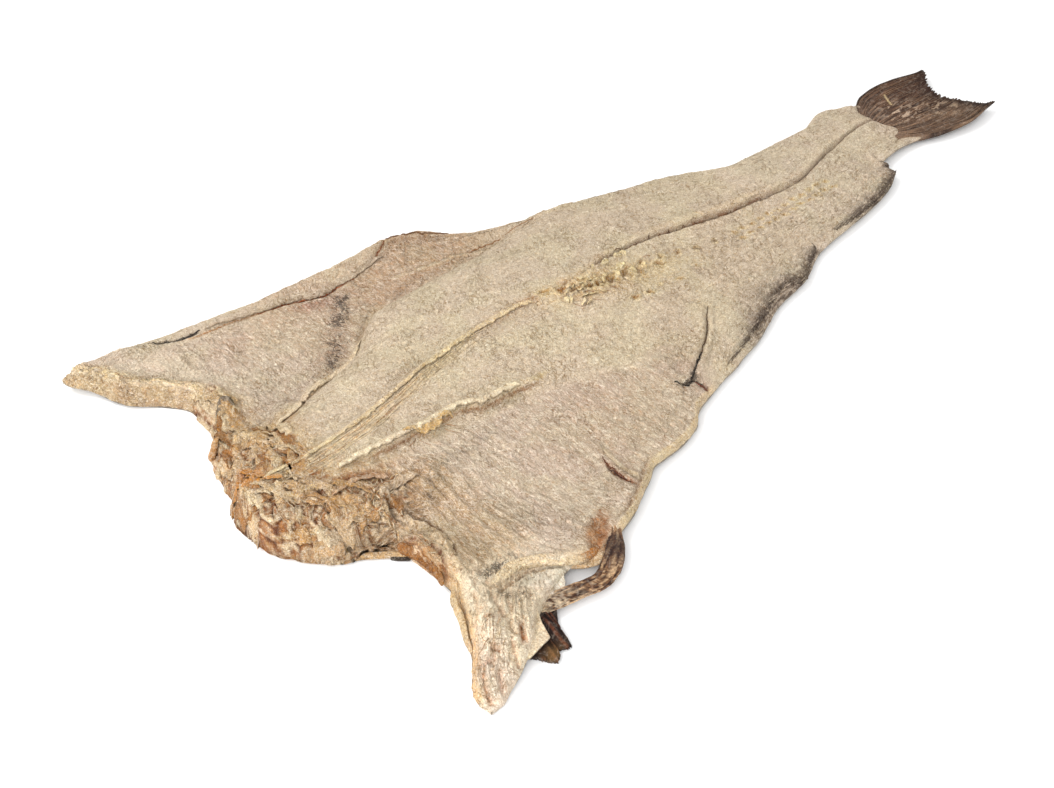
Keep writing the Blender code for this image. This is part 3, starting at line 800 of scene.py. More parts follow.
def shape_right_lug(s):
    """The right lug: pale wrinkled meat with a rolled front, and the strap's root."""
    x, y = s.x, s.y
    lug = ease((-y - 108) / 24) * ease((96 - x) / 26)
    along = (64 - x) * 0.66 + (-y - 112) * 0.75  # from the lug's root to its tip
    across = (64 - x) * 0.75 - (-y - 112) * 0.66
    s.paint(lug, (238, 221, 196), 0.9)
    wrinkle = ridges(across / 5 + 0.6 * cloud(x, y, 0, 16, 61), along / 34, 0, 1, 62, 3)
    s.z += lug * (wrinkle - 0.35) * 2.6 * s.rounding
    # The wrinkles' hollows are painted darker: partly the meat's tone, partly painted shade.
    s.paint(lug * ease((0.2 - wrinkle) / 0.2), (196, 152, 116), 0.6)
    s.patch((13, -178), (8, 12), -40, (238, 224, 204), 0.75)
    # The brown creases, the dark gap behind the rolled lip and the crease beside the flap are painted
    # shade; the rosy and pale creases are the meat's own tones.
    brown, rosy = (172, 122, 82), (208, 172, 146)
    s.z += 2.5 * blob(x, y, (34, -158), (9, 7), -40) * s.rounding
    s.crease(((20, -166), (15, -172), (12, -178), (10, -184)), 3.0, 1.6, brown, 0.8, 1.0)
    s.crease(((14, -164), (10, -170), (8, -178)), 2.4, 1.4, rosy, 0.8, 1.2)
    s.crease(((26, -172), (20, -178), (15, -183)), 2.2, 1.6, rosy, 0.7, 1.2)
    s.crease(((33, -152), (38, -155)), 2.0, 1.0, brown, 0.9, 1.0)
    s.crease(((27, -163), (31, -167)), 2.4, 1.1, brown, 0.9, 1.0)
    s.crease(((29, -146), (25, -154), (20, -158), (20, -165), (28, -168)), 3.2, 1.8, rosy, 0.8, 1.2)
    s.crease(((44, -132), (40, -140), (34, -146), (28, -150)), 2.2, 1.6, (190, 150, 112), 0.6, 1.3)
    s.crease(((52, -140), (46, -148), (44, -158), (42, -168)), 2.2, 1.8, (192, 160, 130), 0.6, 1.4)
    s.crease(((40, -166), (36, -172), (33, -178)), 2.6, 1.4, rosy, 0.8, 1.2)
    s.crease(((43, -120), (38, -131), (33, -140), (28, -149)), 3.0, 1.2, (128, 78, 42), 0.9, 1.2)
    s.crease(((52, -159), (48, -163.5), (45, -168), (41, -172)), 2.6, 1.6, (140, 90, 52), 1.0, 1.8, 0.4)
    # The front edge is rolled, yellow-brown below.
    s.paint(between(y, -178, -112, 12) * ease((4.5 - s.from_neck) / 3), (212, 174, 122), 0.85)
    # The ridge that runs to the strap, a pale membrane behind it, and a hairy patch.
    near = to_line_near(x, y, STRAP_RIDGE, 30)[0]
    s.z += 2.6 * hill(near, 3.6) * s.rounding
    s.paint(hill(near, 4), (226, 200, 166), 0.75)
    # Painted shadow along the ridge's lower side.
    s.crease([(px, py - 5) for px, py in STRAP_RIDGE], 1.6, 1.0, (176, 134, 92), 0.8, 1.0)
    s.crease(((66, -139), (78, -137), (88, -142), (96, -148)), 2.0, 1.0, (168, 128, 88), 0.7, 0.9)
    s.z -= 2.4 * blob(x, y, (84, -145), (15, 6), -12) * s.rounding
    s.paint(ease(2 * blob(x, y, (82, -146), (15, 6), -12)), (228, 218, 198), 0.95)
    s.patch((92, -148), (6, 4), -30, (184, 174, 156), 0.6)
    speck = np.clip(0.4 + 1.4 * cloud(x / 2, y, 0, 3, 63, 3, 0.7), 0, 1)
    s.paint(blob(x, y, (68, -124), (17, 4), 4) * speck, (150, 138, 124), 0.8)
    s.spot(0.75 * blob(x, y, (66, -124.5), (15, 3.4), 4))
    s.spot(0.5 * blob(x, y, (64, -151), (10, 5), -20))
    s.paint(blob(x, y, (62, -152), (11, 8), -30) * (0.4 + 0.6 * speck), (150, 124, 96), 0.85)
    # Painted light: the lug and its pale membrane are painted lighter, and a little bluer, to make up for
    # the lamps' light that reaches their slope less.
    painted_light = ease((-y - 104) / 20) * ease((114 - x) / 22)
    s.tint = s.tint * np.minimum(1 + 0.43 * painted_light, 0.93 / s.tint.max(-1))[..., None]
    s.tint = s.tint * (1 + painted_light[..., None] * np.array([-0.03, 0.01, 0.06]))
    root = blob(x, y, (55, -144), (12, 5), 122)
    s.paint(root * (0.2 + 0.8 * speck), (166, 142, 110), 0.8)
    s.spot(0.45 * root)


def shape_right(s):
    """The right lining: cross fibres, pinker to the rear; slit, vent and edge."""
    x, y = s.x, s.y
    inside = s.rounding**2
    side = to_line_near(x, y, RIGHT_MEMBRANE, 240)[1]
    rag = 0.9 * cloud(x, y, 0, 8, 71, 3)
    below = ease((-side + rag) / 2.4)
    torn = between(x, 62, 176, 22)
    s.z -= torn * 2.4 * below * hill(side, 20) * inside
    s.z += torn * 2.0 * hill(side - 2.6 + rag, 2.6) * inside
    s.dy -= torn * 1.1 * hill(side - 1.0, 1.6)
    s.paint(torn * hill(side - 2.2 + rag, 2.0), (232, 214, 180), 0.85)
    # Painted shadow under the torn lip.
    s.paint(torn * hill(side + 0.6 + rag, 1.0), (148, 100, 56), 0.85)
    s.paint(blob(x, y, (104, -33), (9, 4)) * np.clip(0.3 + 1.6 * rag, 0, 1), (206, 166, 100), 0.8)
    lining = ease((-side - 2) / 10) * between(x, 52, 262, 34) * ease((y + 152) / 10)
    s.lining_right = lining
    s.paint(lining, (206, 187, 170), 0.85)
    s.paint(lining * blob(x, y, (200, -88), (46, 34)), (201, 176, 152), 0.8)
    s.paint(lining * blob(x, y, (190, -60), (34, 16)) * ease(cloud(x, y, 0, 9, 73) + 0.4),
            (178, 150, 128), 0.6)
    lean = x + 0.22 * (y + 90)
    grain = cloud(lean / 3.0 + 0.8 * cloud(x, y, 0, 40, 74), y / 22, 0, 1, 75, 3)
    sharp = ridges(lean / 8 + 1.1 * cloud(x, y, 0, 34, 76), y / 55, 0, 1, 77, 3, 0.6)
    s.z += lining * inside * (0.8 * grain + 1.5 * (sharp - 0.4))
    # The striations' crests are painted lighter and their grooves darker: partly their own tone, partly
    # painted highlight and shade.
    s.paint(lining * ease((sharp - 0.6) / 0.25), (224, 211, 190), 0.7)
    s.paint(lining * ease((0.22 - sharp) / 0.2), (184, 164, 142), 0.5)
    # Painted shade in the slit and in the vent's crack and branch.
    s.crease(SLIT, 2.6, 0.9, (168, 98, 46), 1.0, 1.5, 0.2)
    s.crease(VENT_CRACK, 1.4, 0.8, (124, 98, 76), 0.8, 0.7, 0.3)
    s.crease(VENT_BRANCH, 2.4, 1.2, (46, 38, 34), 1.0, 1.2)
    s.z += 1.2 * hill(to_line_near(x, y, VENT_CRACK, 20)[0] - 3, 1.6)
    s.patch((256, -106), (2.4, 5), 0, (118, 58, 36), 0.9)
    s.spot(blob(x, y, (248, -97), (7, 2.4), -20) + blob(x, y, (256, -95), (5, 2.4), 40))
    s.spot(0.3 * blob(x, y, (262, -74), (22, 12), 40))
    s.patch((262, -76), (24, 14), 40, (184, 160, 136), 0.5)
    # The orange stain where the strap meets the flap.
    s.crease(((108, -150), (118, -149), (127, -144.5), (133, -138), (140, -130)), 1.0, 3.0,
             (158, 96, 48), 0.95, 4.0, 0.3)
    s.crease(((133, -134), (128, -138), (125, -143), (125, -149)), 2.2, 2.2,
             (122, 70, 40), 0.95, 2.4, 0.3)
    s.crease(((112, -149), (116, -148), (120, -149)), 2.0, 1.6, (110, 66, 42), 0.9, 1.4, 0.3)
    s.paint(1.3 * blob(x, y, (123, -141), (13, 5), 28), (172, 118, 66), 0.85)
    s.patch((181, -40), (7, 2), 0, (224, 206, 140), 0.6)
    # The edge of the flap is a thicker, yellower band.
    edge = between(x, 134, 262, 10) * ease((3.2 - s.from_right) / 2)
    s.paint(edge, (234, 210, 164), 0.85)
    s.z += edge * 0.9
    s.crease(((136, -142), (150, -141), (166, -134), (178, -127), (192, -121)), 1.2, 1.0,
             (176, 140, 104), 0.7, 0.9)


def shape_rear(s):
    """The tail's meat, and the grey streaks where the dark fins were cut off."""
    x, y = s.x, s.y
    inside = s.rounding**2
    wave = cloud(x / 3.0, y, 0, 14, 81, 3)
    rear = between(x, 300, 592, 60)
    s.z += rear * inside * 1.2 * wave
    s.paint(between(x, 430, 610, 60), (214, 200, 184), 0.5)
    s.tint = s.tint * (1 - 0.07 * between(x, 230, 400, 50) * (y > midline(x)))[..., None]
    s.paint(rear * ease((wave - 0.1) / 0.25), (226, 212, 188), 0.4)
    dents = ease((ridges((x + y) / 2.2, y - 0.15 * x, 0, 4, 83, 2) - 0.62) / 0.2)
    below = between(y, -60, -4, 14)
    s.z -= rear * below * dents * 0.7
    s.paint(rear * below * dents, (200, 166, 116), 0.45)
    ray_along, ray_across = x + FIN_LEAN * y, y - FIN_LEAN * x
    streak = ridges(ray_across / 1.5 + 0.5 * cloud(x, y, 0, 22, 84), ray_along / 30, 0, 1, 86, 3, 0.65)
    for stations, wide in ((FIRST_FIN, 23), (SECOND_FIN, 16)):
        near, side, share = to_line_near(x, y, [point[:2] for point in stations], 40)
        ends = ease(share / 0.25) * ease((1 - share) / 0.05) * (near < 900)
        width = wide * (0.5 + 0.5 * np.sin(np.pi * share))
        reach = ends * np.clip(1 - np.maximum(side, 0) / width, 0, 1)
        s.paint(reach * 2, (196, 182, 164), 0.6)
        s.paint(ease((reach - 0.20 - streak) / 0.3) * reach**0.7, (150, 136, 121), 0.8)
        s.paint(ease((1.7 * reach - 1.28 - streak) / 0.25), (72, 59, 50), 0.8)
        s.z += ease(reach * 2) * (streak - 0.4) * 0.9 * inside


def shape_sockets(s):
    """Where the backbone was cut out: spongy, yellow, full of holes."""
    x, y = s.x, s.y
    zone = blob(x, y, (274, -3), (38, 10), -14)
    sponge = ridges(x, y, 0, 7, 85, 3)
    s.z += zone * (sponge - 0.35) * 3.6
    s.paint(zone, (244, 218, 160), 0.9)
    # The sponge's hollows and the pits are painted darker: partly their brown, partly painted shade.
    s.paint(zone * ease((0.34 - sponge) / 0.2), (186, 136, 72), 0.85)
    pitted = blob(x, y, (222, 13), (26, 2.6), -4) * ease((0.55 - ridges(x, y, 0, 3, 87, 2)) / 0.2)
    s.paint(pitted, (178, 122, 62), 0.9)
    s.z -= pitted
    # The holes' outlines wander, and each has painted shade on its side towards the left loin.
    bent_x, bent_y = x + 1.6 * cloud(x, y, 0, 5, 88, 2), y + 1.6 * cloud(x, y, 0, 5, 89, 2)
    for cx, cy, half_x, half_y, depth in SOCKETS + TAIL_PITS:
        hole = blob(bent_x, bent_y, (cx, cy), (half_x, half_y), -20)
        arc_place = (cx + 0.2 * half_x, cy + 0.6 * half_y)
        arc = blob(bent_x, bent_y, arc_place, (half_x, half_y * 0.5), -20)
        from_middle = np.sqrt(-np.log(np.maximum(hole, 1e-9)))
        big = depth > 2.2
        s.z -= depth * 0.55 * ease(hole * 2.2 - 0.5)
        s.z += (1.0 if big else 0.4) * hill(from_middle - 1.25, 0.3)
        s.paint(hill(from_middle - 1.3, 0.35), (242, 224, 178), 0.8)
        s.paint(ease(hole * 2.0 - 0.4), (214, 172, 104) if big else (214, 188, 136), 0.9)
        s.paint(ease(arc * 1.9 - 0.5), (164, 114, 52) if big else (182, 142, 84), 0.85)
    s.patch((300, -16), (44, 14), 0, (214, 193, 152), 0.4)


def normals(points):
    """The upward normals of a grid of points."""
    return unit(np.cross(np.gradient(points, axis=0), np.gradient(points, axis=1)))


def softened(points):
    """The surface without its small forms, whose normals never cross each other."""
    for _ in range(6):
        wide = np.pad(points, ((1, 1), (1, 1), (0, 0)), "edge")
        points = (wide[:-2, 1:-1] + wide[2:, 1:-1] + wide[1:-1, :-2] + wide[1:-1, 2:] + 2 * points) / 6
    return points


def layered(value, count, edge):
    """Terraces cut into a field: height, dark foot, soft shade below a step, lit lip."""
    level = value * count
    floor = np.floor(level)
    part = level - floor
    height = (floor + ease(part / edge)) / count
    foot = np.maximum(ease((part - 1 + 0.12) / 0.10), 0.8 * ease((0.7 * edge - part) / (0.5 * edge)))
    return height, foot, ease((part - 0.55) / 0.4), hill(part - 1.5 * edge, 0.7 * edge)


def tear(s, points):
    """Breaks the stump and the collar's front into torn layers with dark crevices."""
    x, y = s.x, s.y
    away = s.from_neck
    front = ease((38 - away) / 20) * between(y, -64, 44, 16)
    collar = between(y, 34, 96, 12) * ease((24 - away) / 12)
    lug_front = between(y, 92, 190, 14) * ease((8 - away) / 5) * 0.25
    right_front = between(y, -122, -60, 12) * ease((9 - away) / 6) * 0.5
    amount = np.clip(front + collar + lug_front + right_front, 0, 1)
    close = amount > 0.02
    near = points[close] * np.array([1.0, 0.55, 1.3])
    near = near + 3.5 * np.stack([cloud(*near.T, 9, seed, 2) for seed in (101, 104, 107)], 1)
    wide = cloud(*near.T, 25, 111, 2, 0.45) + 0.014 * near[:, 2]
    tall, foot, shade, lip = layered(wide, 5.0, 0.14)
    thin = cloud(*near.T, 10, 121, 2, 0.5)
    small_tall, small_foot, small_shade, small_lip = layered(thin, 3.0, 0.16)
    offset = np.zeros(x.shape)
    offset[close] = (8.0 * (tall - wide * 0.4) + 1.2 * (small_tall - thin * 0.4)) * amount[close]
    offset = np.maximum(offset, -1.2)
    mask_here = np.zeros(x.shape)
    # Painted shade in the crevices, at each step's foot and below it, and painted highlight on the lips.
    for values, colour, strength in (
        (small_shade, (206, 158, 106), 0.35),
        (shade, (180, 116, 52), 0.6),
        (small_lip, (242, 224, 190), 0.4),
        (lip, (242, 222, 184), 0.9),
        (small_foot, (146, 84, 36), 0.5),
        (foot, (98, 44, 14), 0.95),
    ):
        mask_here[close] = np.clip(values, 0, 1) * amount[close]
        s.paint(mask_here, colour, strength)
    return points + normals(softened(points)) * offset[..., None]


def displace(s):
    """Fibres and fuzz stand off the surface along its normals, also on steep faces."""
    points = np.stack([s.x + s.dx, s.y + s.dy, s.z], -1)
    points = tear(s, points)
    x, y, z = points[..., 0], points[..., 1], points[..., 2]
    fuzz = 0.34 * cloud(x, y, z, 3.6, 95, 3, 0.7) + 0.3 * cloud(x, y / 1.6, z, 11, 98, 2)
    front = ease((12 - s.from_neck) / 6)
    fuzz = fuzz + front * (1.2 - 0.8 * ease((64 - np.abs(y)) / 12)) * (ridges(x, y, z, 7, 99, 3) - 0.4)
    edge = np.minimum(s.from_side, s.from_neck)
    fray = hill(edge, 6) * (1.1 * cloud(x, y, 0, 9, 101, 3) + 0.25)
    points = points + normals(softened(points)) * fuzz[..., None]
    points[..., :2] -= unit(points[..., :2] - MIDDLE) * fray[..., None]
    tip = points[..., :2] - LUG_TIP
    bisector = np.array([0.52, 0.85])
    sideways = tip - (tip @ bisector)[..., None] * bisector
    points[..., :2] += 0.55 * sideways * np.exp(-((tip**2).sum(-1) / 81))[..., None]
    high = points[..., 2] - SOFT_TOP
    flattened = SOFT_TOP + SOFT_REACH * np.tanh(high / 4.0)
    points[..., 2] = np.where(high > 0, flattened, points[..., 2])
    points[..., 2] = np.maximum(points[..., 2], skin_height(s.x, s.y) + LEAST_THICK)
    return points


# ---------------------------------------------------------------- meshes
def piece(name, points, faces, material, tint, masks=None, shading=None):
    """A piece of the fish from plan points, riding the cod in place of the CAD solid.

    tint is its painted colour, masks are what else its material reads from point to
    point, and shading gives the normals of pieces that meet other pieces.
    """
    mesh = bpy.data.meshes.new(name)
    mesh.from_pydata(to_row(points).tolist(), [], faces)
    mesh.materials.append(material)
    mesh.shade_smooth()
    if shading is not None:
        mesh.normals_split_custom_set_from_vertices(shading.tolist())
    colours = np.ones((len(points), 4))
    colours[:, :3] = tint
    layer = mesh.color_attributes.new("tint", "FLOAT_COLOR", "POINT")
    layer.data.foreach_set("color", np.clip(colours, 0, 1).astype(np.float32).ravel())
    for key, values in (masks or {}).items():
        layer = mesh.attributes.new(key, "FLOAT", "POINT")
        layer.data.foreach_set("value", np.asarray(values, np.float32).ravel())
    made = placed(name, mesh)
    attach(made, BODY)
    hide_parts(NODE)


def grid_faces(rows, columns, start=0, flip=False):
    """Quads over a grid of rows by columns points, facing up when rows run along x."""
    i, j = np.meshgrid(np.arange(rows - 1), np.arange(columns - 1), indexing="ij")
    a = start + (i * columns + j).ravel()
    quads = np.stack([a, a + columns, a + columns + 1, a + 1], 1)
    return (quads[:, ::-1] if flip else quads).tolist()


def border(rows, columns):
    """Indices round a grid's edge, counter-clockwise from above."""
    down = [i * columns for i in range(rows)]
    right = [(rows - 1) * columns + j for j in range(1, columns)]
    up = [i * columns + columns - 1 for i in range(rows - 2, -1, -1)]
    back = list(range(columns - 2, 0, -1))
    return down + right + up + back


def wall(upper, lower):
    """Quads between two closed rings of point numbers."""
    return np.stack([np.roll(upper, -1), upper, lower, np.roll(lower, -1)], 1).tolist()


def closed_sheet(x, y, high, low, tint, underside_shade=1.0, turn=None):
    """Points, faces and colours of a sheet between two heights over a grid.

    Its underside is darker by the factor before turn: painted shade. turn is the axis along which the
    grid has to be read backwards to face up.
    """
    grids = [np.stack(np.broadcast_arrays(x, y, z), -1) for z in (high, low)] + [tint]
    if turn is not None:
        grids = [np.flip(grid, turn) for grid in grids]
    top, bottom, tint = (grid.reshape(-1, 3) for grid in grids)
    rows, columns = grids[0].shape[:2]
    count = rows * columns
    points = np.concatenate([top, bottom])
    loop = np.array(border(rows, columns))
    faces = grid_faces(rows, columns) + grid_faces(rows, columns, count, True) + wall(loop, loop + count)
    return points, faces, np.concatenate([tint, tint * underside_shade])


SKIN_THICK = 0.7
RIM_RINGS = ((0.33, 0.5), (0.7, 0.4), (1.0, -0.5))  # share of the way down, bulge outward
BOTTOM_STEP = (8, 8)  # the hidden underside has one cell for so many of the top's


def band_mesh(points, open_front, open_back):
    """Closed band: the fine top, a rounded rim and a coarse underside on the skin.

    The rim doesn't bulge at an end that meets the next band.
    """
    rows, columns = points.shape[:2]
    top = points.reshape(-1, 3)
    loop = np.array(border(rows, columns))
    edge = top[loop]
    ahead = np.roll(edge, -3, 0) - np.roll(edge, 3, 0)
    outward = unit(np.stack([ahead[:, 1], -ahead[:, 0]], 1))
    row = loop // columns
    joined = ((row == 0) & (not open_front)) | ((row == rows - 1) & (not open_back))
    outward[joined] = 0
    floor_z = skin_height(edge[:, 0], edge[:, 1]) + UNDERSIDE_GAP
    rings = []
    for share, bulge in RIM_RINGS:
        ring = edge.copy()
        ring[:, :2] += outward * bulge
        ring[:, 2] = edge[:, 2] * (1 - share) + floor_z * share
        rings.append(ring)
    all_points = np.concatenate([top] + rings)
    faces = grid_faces(rows, columns)
    count = len(loop)
    levels = [loop] + [len(top) + k * count + np.arange(count) for k in range(3)]
    for upper, lower in zip(levels, levels[1:]):
        faces += wall(upper, lower)
    index = dict(zip(loop.tolist(), levels[-1].tolist()))  # grid place -> lowest ring
    step_i, step_j = BOTTOM_STEP
    extra = []
    for i in range(step_i, rows - 1, step_i):
        for j in range(step_j, columns - 1, step_j):
            x, y = points[i, j, :2]
            index[i * columns + j] = len(all_points) + len(extra)
            extra.append((x, y, float(skin_height(x, y)) + UNDERSIDE_GAP))
    for i in range(0, rows - 1, step_i):
        for j in range(0, columns - 1, step_j):
            walk = [(i, j + t) for t in range(step_j)]
            walk += [(i + t, j + step_j) for t in range(step_i)]
            walk += [(i + step_i, j + step_j - t) for t in range(step_j)]
            walk += [(i + step_i - t, j) for t in range(step_i)]
            faces.append([index[a * columns + b] for a, b in walk if a * columns + b in index])
    return np.concatenate([all_points, np.array(extra)]), faces, loop, rings


# ---------------------------------------------------------------- materials
class Value:
    """A number or colour that varies over the surface: the output of a shader node."""

    def __init__(self, tree, socket):
        self.tree, self.socket = tree, socket

    def __add__(self, other):
        return maths(self.tree, "ADD", self, other)

    def __sub__(self, other):
        return maths(self.tree, "SUBTRACT", self, other)

    def __rsub__(self, other):
        return maths(self.tree, "SUBTRACT", other, self)

    def __mul__(self, other):
        return maths(self.tree, "MULTIPLY", self, other)


def feed(tree, made, *inputs):
    """Fills a node's inputs, given as (name or number, source)."""
    for key, source in inputs:
        socket = made.inputs[key]
        if isinstance(source, Value):
            tree.links.new(source.socket, socket)
        elif isinstance(source, (int, float)):
            socket.default_value = source
        else:
            parts = tuple(float(part) for part in source)
            socket.default_value = parts + (1.0,) * (len(socket.default_value) - len(parts))


def maths(tree, operation, a, b=0.0):
    """A sum, product or the like of values that vary."""
    made = tree.nodes.new("ShaderNodeMath")
    made.operation = operation
    feed(tree, made, (0, a), (1, b))
    return Value(tree, made.outputs[0])


def mix(share, a, b, blend="MIX"):
    """Colour a with colour b over it by a share that varies."""
    tree = (a if isinstance(a, Value) else b).tree
    made = tree.nodes.new("ShaderNodeMix")
    made.data_type = "RGBA"
    made.blend_type = blend
    feed(tree, made, (0, share), (6, a), (7, b))
    return Value(tree, made.outputs[2])


def toned(colour, factor):
    """The colour multiplied by a factor for each channel."""
    return mix(1.0, colour, factor, "MULTIPLY")


def shaded(colour, factor):
    """The colour made darker or lighter by a factor that varies."""
    grey = factor.tree.nodes.new("ShaderNodeCombineColor")
    feed(factor.tree, grey, (0, factor), (1, factor), (2, factor))
    return toned(colour, Value(factor.tree, grey.outputs[0]))


def ramp(value, low, high, to_low=0.0, to_high=1.0):
    """The value carried smoothly from low..high to to_low..to_high."""
    made = value.tree.nodes.new("ShaderNodeMapRange")
    made.interpolation_type = "SMOOTHSTEP"
    feed(value.tree, made, ("Value", value), ("From Min", low), ("From Max", high),
         ("To Min", to_low), ("To Max", to_high))
    return Value(value.tree, made.outputs["Result"])


def coordinates(tree, stretch=(1, 1, 1), turn=0.0):
    """Object coordinates in which features come out longer by stretch, along turned axes."""
    where = Value(tree, tree.nodes.new("ShaderNodeTexCoord").outputs["Object"])
    mapping = tree.nodes.new("ShaderNodeMapping")
    mapping.vector_type = "TEXTURE"
    feed(tree, mapping, ("Vector", where), ("Scale", stretch), ("Rotation", (0, 0, math.radians(turn))))
    return Value(tree, mapping.outputs["Vector"])


def speckle(tree, size, detail=4.0, rough=0.6, twist=0.0, vector=None):
    """Noise with features of the given size in millimetres, 0 to 1."""
    made = tree.nodes.new("ShaderNodeTexNoise")
    feed(tree, made, ("Scale", 1 / (size * MM)), ("Detail", detail), ("Roughness", rough),
         ("Distortion", twist), ("Vector", vector or coordinates(tree)))
    return Value(tree, made.outputs["Fac"])


def strokes(tree, turns, size, stretch, low, high):
    """Thin short strokes lying in several directions, 0 to 1."""
    total = None
    for turn in turns:
        vector = coordinates(tree, (1.0, stretch, 1.6), turn)
        line = ramp(speckle(tree, size, 1.5, 0.6, 0.5, vector), low, high)
        total = line if total is None else maths(tree, "MAXIMUM", total, line)
    return total


def crinkles(tree, size, stretch, turn, width):
    """Long wandering thin lines, 1 on the line."""
    wander = speckle(tree, size, 3, 0.6, 1.1, coordinates(tree, (1.0, stretch, 1.0), turn))
    return ramp(maths(tree, "ABSOLUTE", wander - 0.5), 0.0, width, 1.0, 0.0)


def painted(tree, name, output="Fac"):
    """What the pieces' meshes carry from point to point under a name."""
    made = tree.nodes.new("ShaderNodeAttribute")
    made.attribute_name = name
    return Value(tree, made.outputs[output])


def new_material(name):
    material = bpy.data.materials.new(name)
    material.use_nodes = True
    return material, material.node_tree


def finish_material(material, colour, rough, specular, height=None, distance=0.0, strength=1.0):
    """Gives the Principled shader its colour, its gloss and, from a height, its bumps."""
    tree = material.node_tree
    principled = tree.nodes["Principled BSDF"]
    feed(tree, principled, ("Base Color", colour), ("Roughness", rough), ("Specular IOR Level", specular))
    if height is not None:
        bump = tree.nodes.new("ShaderNodeBump")
        feed(tree, bump, ("Strength", strength), ("Distance", distance * MM), ("Height", height))
        feed(tree, principled, ("Normal", Value(tree, bump.outputs["Normal"])))
    return material


def flesh_material():
    """Dried cod meat: painted zones under felt-like fibres, crinkles and tufts."""
    material, tree = new_material("dried_flesh_fibres")
    lining = painted(tree, "lining")
    meat = 1.0 - lining
    grains = speckle(tree, 0.75, 1.5, 0.8, 0.2)
    tuft = ramp(speckle(tree, 5.0, 7, 0.72, 1.2), 0.46, 0.60)
    light = (strokes(tree, (20, 72, -38), 0.6, 5.0, 0.54, 0.70) * meat
             + strokes(tree, (-10, 5, 50), 0.55, 14.0, 0.52, 0.67) * lining)
    dark = (strokes(tree, (52, -14), 0.7, 4.0, 0.55, 0.70) * meat
            + strokes(tree, (-3, 13), 0.65, 13.0, 0.54, 0.68) * lining)
    creased = crinkles(tree, 7.0, 1.8, -24, 0.030) * ramp(speckle(tree, 21, 2), 0.42, 0.56)
    patches = ramp(speckle(tree, 30, 3, 0.55, 0.4), 0.38, 0.62)
    pale = ramp(painted(tree, "tint"), 0.10, 0.42, 0.25, 1.0)  # dark paint keeps its darkness
    # The tufts and light strokes stand up in the bump and are painted lighter, the dark strokes and
    # crinkles sink and are painted darker: partly the fibres' own colours, partly painted highlight and
    # shade.
    colour = mix(tuft * 0.30 * pale, painted(tree, "tint", "Color"), srgb(240, 226, 196))
    colour = mix(dark * 0.62, colour, toned(colour, (0.72, 0.56, 0.41)))
    colour = mix(creased * 0.75, colour, toned(colour, (0.60, 0.46, 0.30)))
    colour = mix(light * 0.60 * pale, colour, srgb(252, 244, 228))
    colour = mix(patches * 0.8, toned(colour, (1.0, 0.985, 0.925)), toned(colour, (1.0, 0.95, 0.945)))
    # Each grain is painted lighter or darker as it stands up or sinks in the bump: painted light and
    # shade.
    grains_shaded, grains_lit = toned(colour, (0.80, 0.73, 0.66)), toned(colour, (1.21, 1.23, 1.25))
    colour = mix(ramp(grains, 0.28, 0.72), grains_shaded, grains_lit)
    stain = painted(tree, "stain")
    spots = speckle(tree, 1.3, 4, 0.78, 1.0, coordinates(tree, (1.0, 2.2, 1.0), 40))
    spotted = ramp(spots - (0.66 - stain * 0.30), 0.0, 0.05) * ramp(stain, 0.02, 0.15)
    colour = mix(spotted * 0.80, colour, srgb(66, 56, 50))
    height = grains * 0.4 + light * 0.5 + tuft * 0.5 - dark * 0.5 - creased * 0.9
    return finish_material(material, colour, 0.85, 0.2, height, 0.7)


def skin_material():
    """Salted skin: grey-brown back, paler belly, small scales and salt dust."""
    material, tree = new_material("cod_skin_scales")
    cells = tree.nodes.new("ShaderNodeTexVoronoi")
    cells.feature = "DISTANCE_TO_EDGE"
    feed(tree, cells, ("Scale", 1 / (2.6 * MM)), ("Vector", coordinates(tree, (1.4, 1.0, 1.0))))
    scales = Value(tree, cells.outputs["Distance"])
    blotches = speckle(tree, 17, 5, 0.65, 0.8)
    salt = ramp(speckle(tree, 6, 6, 0.75, 1.0), 0.50, 0.68)
    colour = shaded(painted(tree, "tint", "Color"), ramp(blotches, 0.35, 0.66, 0.62, 1.25))
    colour = shaded(colour, ramp(scales, 0.0, 0.12, 0.72, 1.0))
    colour = mix(salt * 0.55, colour, srgb(206, 200, 190))
    height = ramp(scales, 0.0, 0.25) + speckle(tree, 1.2, 3)
    return finish_material(material, colour, 0.62, 0.35, height, 0.5, 0.6)


def fin_material():
    """Dried fin: painted rays with fine splinters, dusted with salt."""
    material, tree = new_material("dried_fin_rays")
    dust = ramp(speckle(tree, 5, 7, 0.75, 1.2), 0.50, 0.62)
    fine = speckle(tree, 0.9, 2, 0.7)
    splinters = strokes(tree, (-82, -104), 0.9, 7.0, 0.50, 0.66)
    colour = shaded(painted(tree, "tint", "Color"), ramp(fine, 0.3, 0.7, 0.70, 1.25))
    colour = mix(splinters * 0.35, colour, toned(colour, (1.9, 1.8, 1.7)))
    colour = mix(dust * 0.22, colour, srgb(190, 174, 158))
    return finish_material(material, colour, 0.72, 0.3, fine + splinters, 0.5, 0.8)


# ---------------------------------------------------------------- pieces
FLESH = flesh_material()
SKIN = skin_material()
FIN = fin_material()


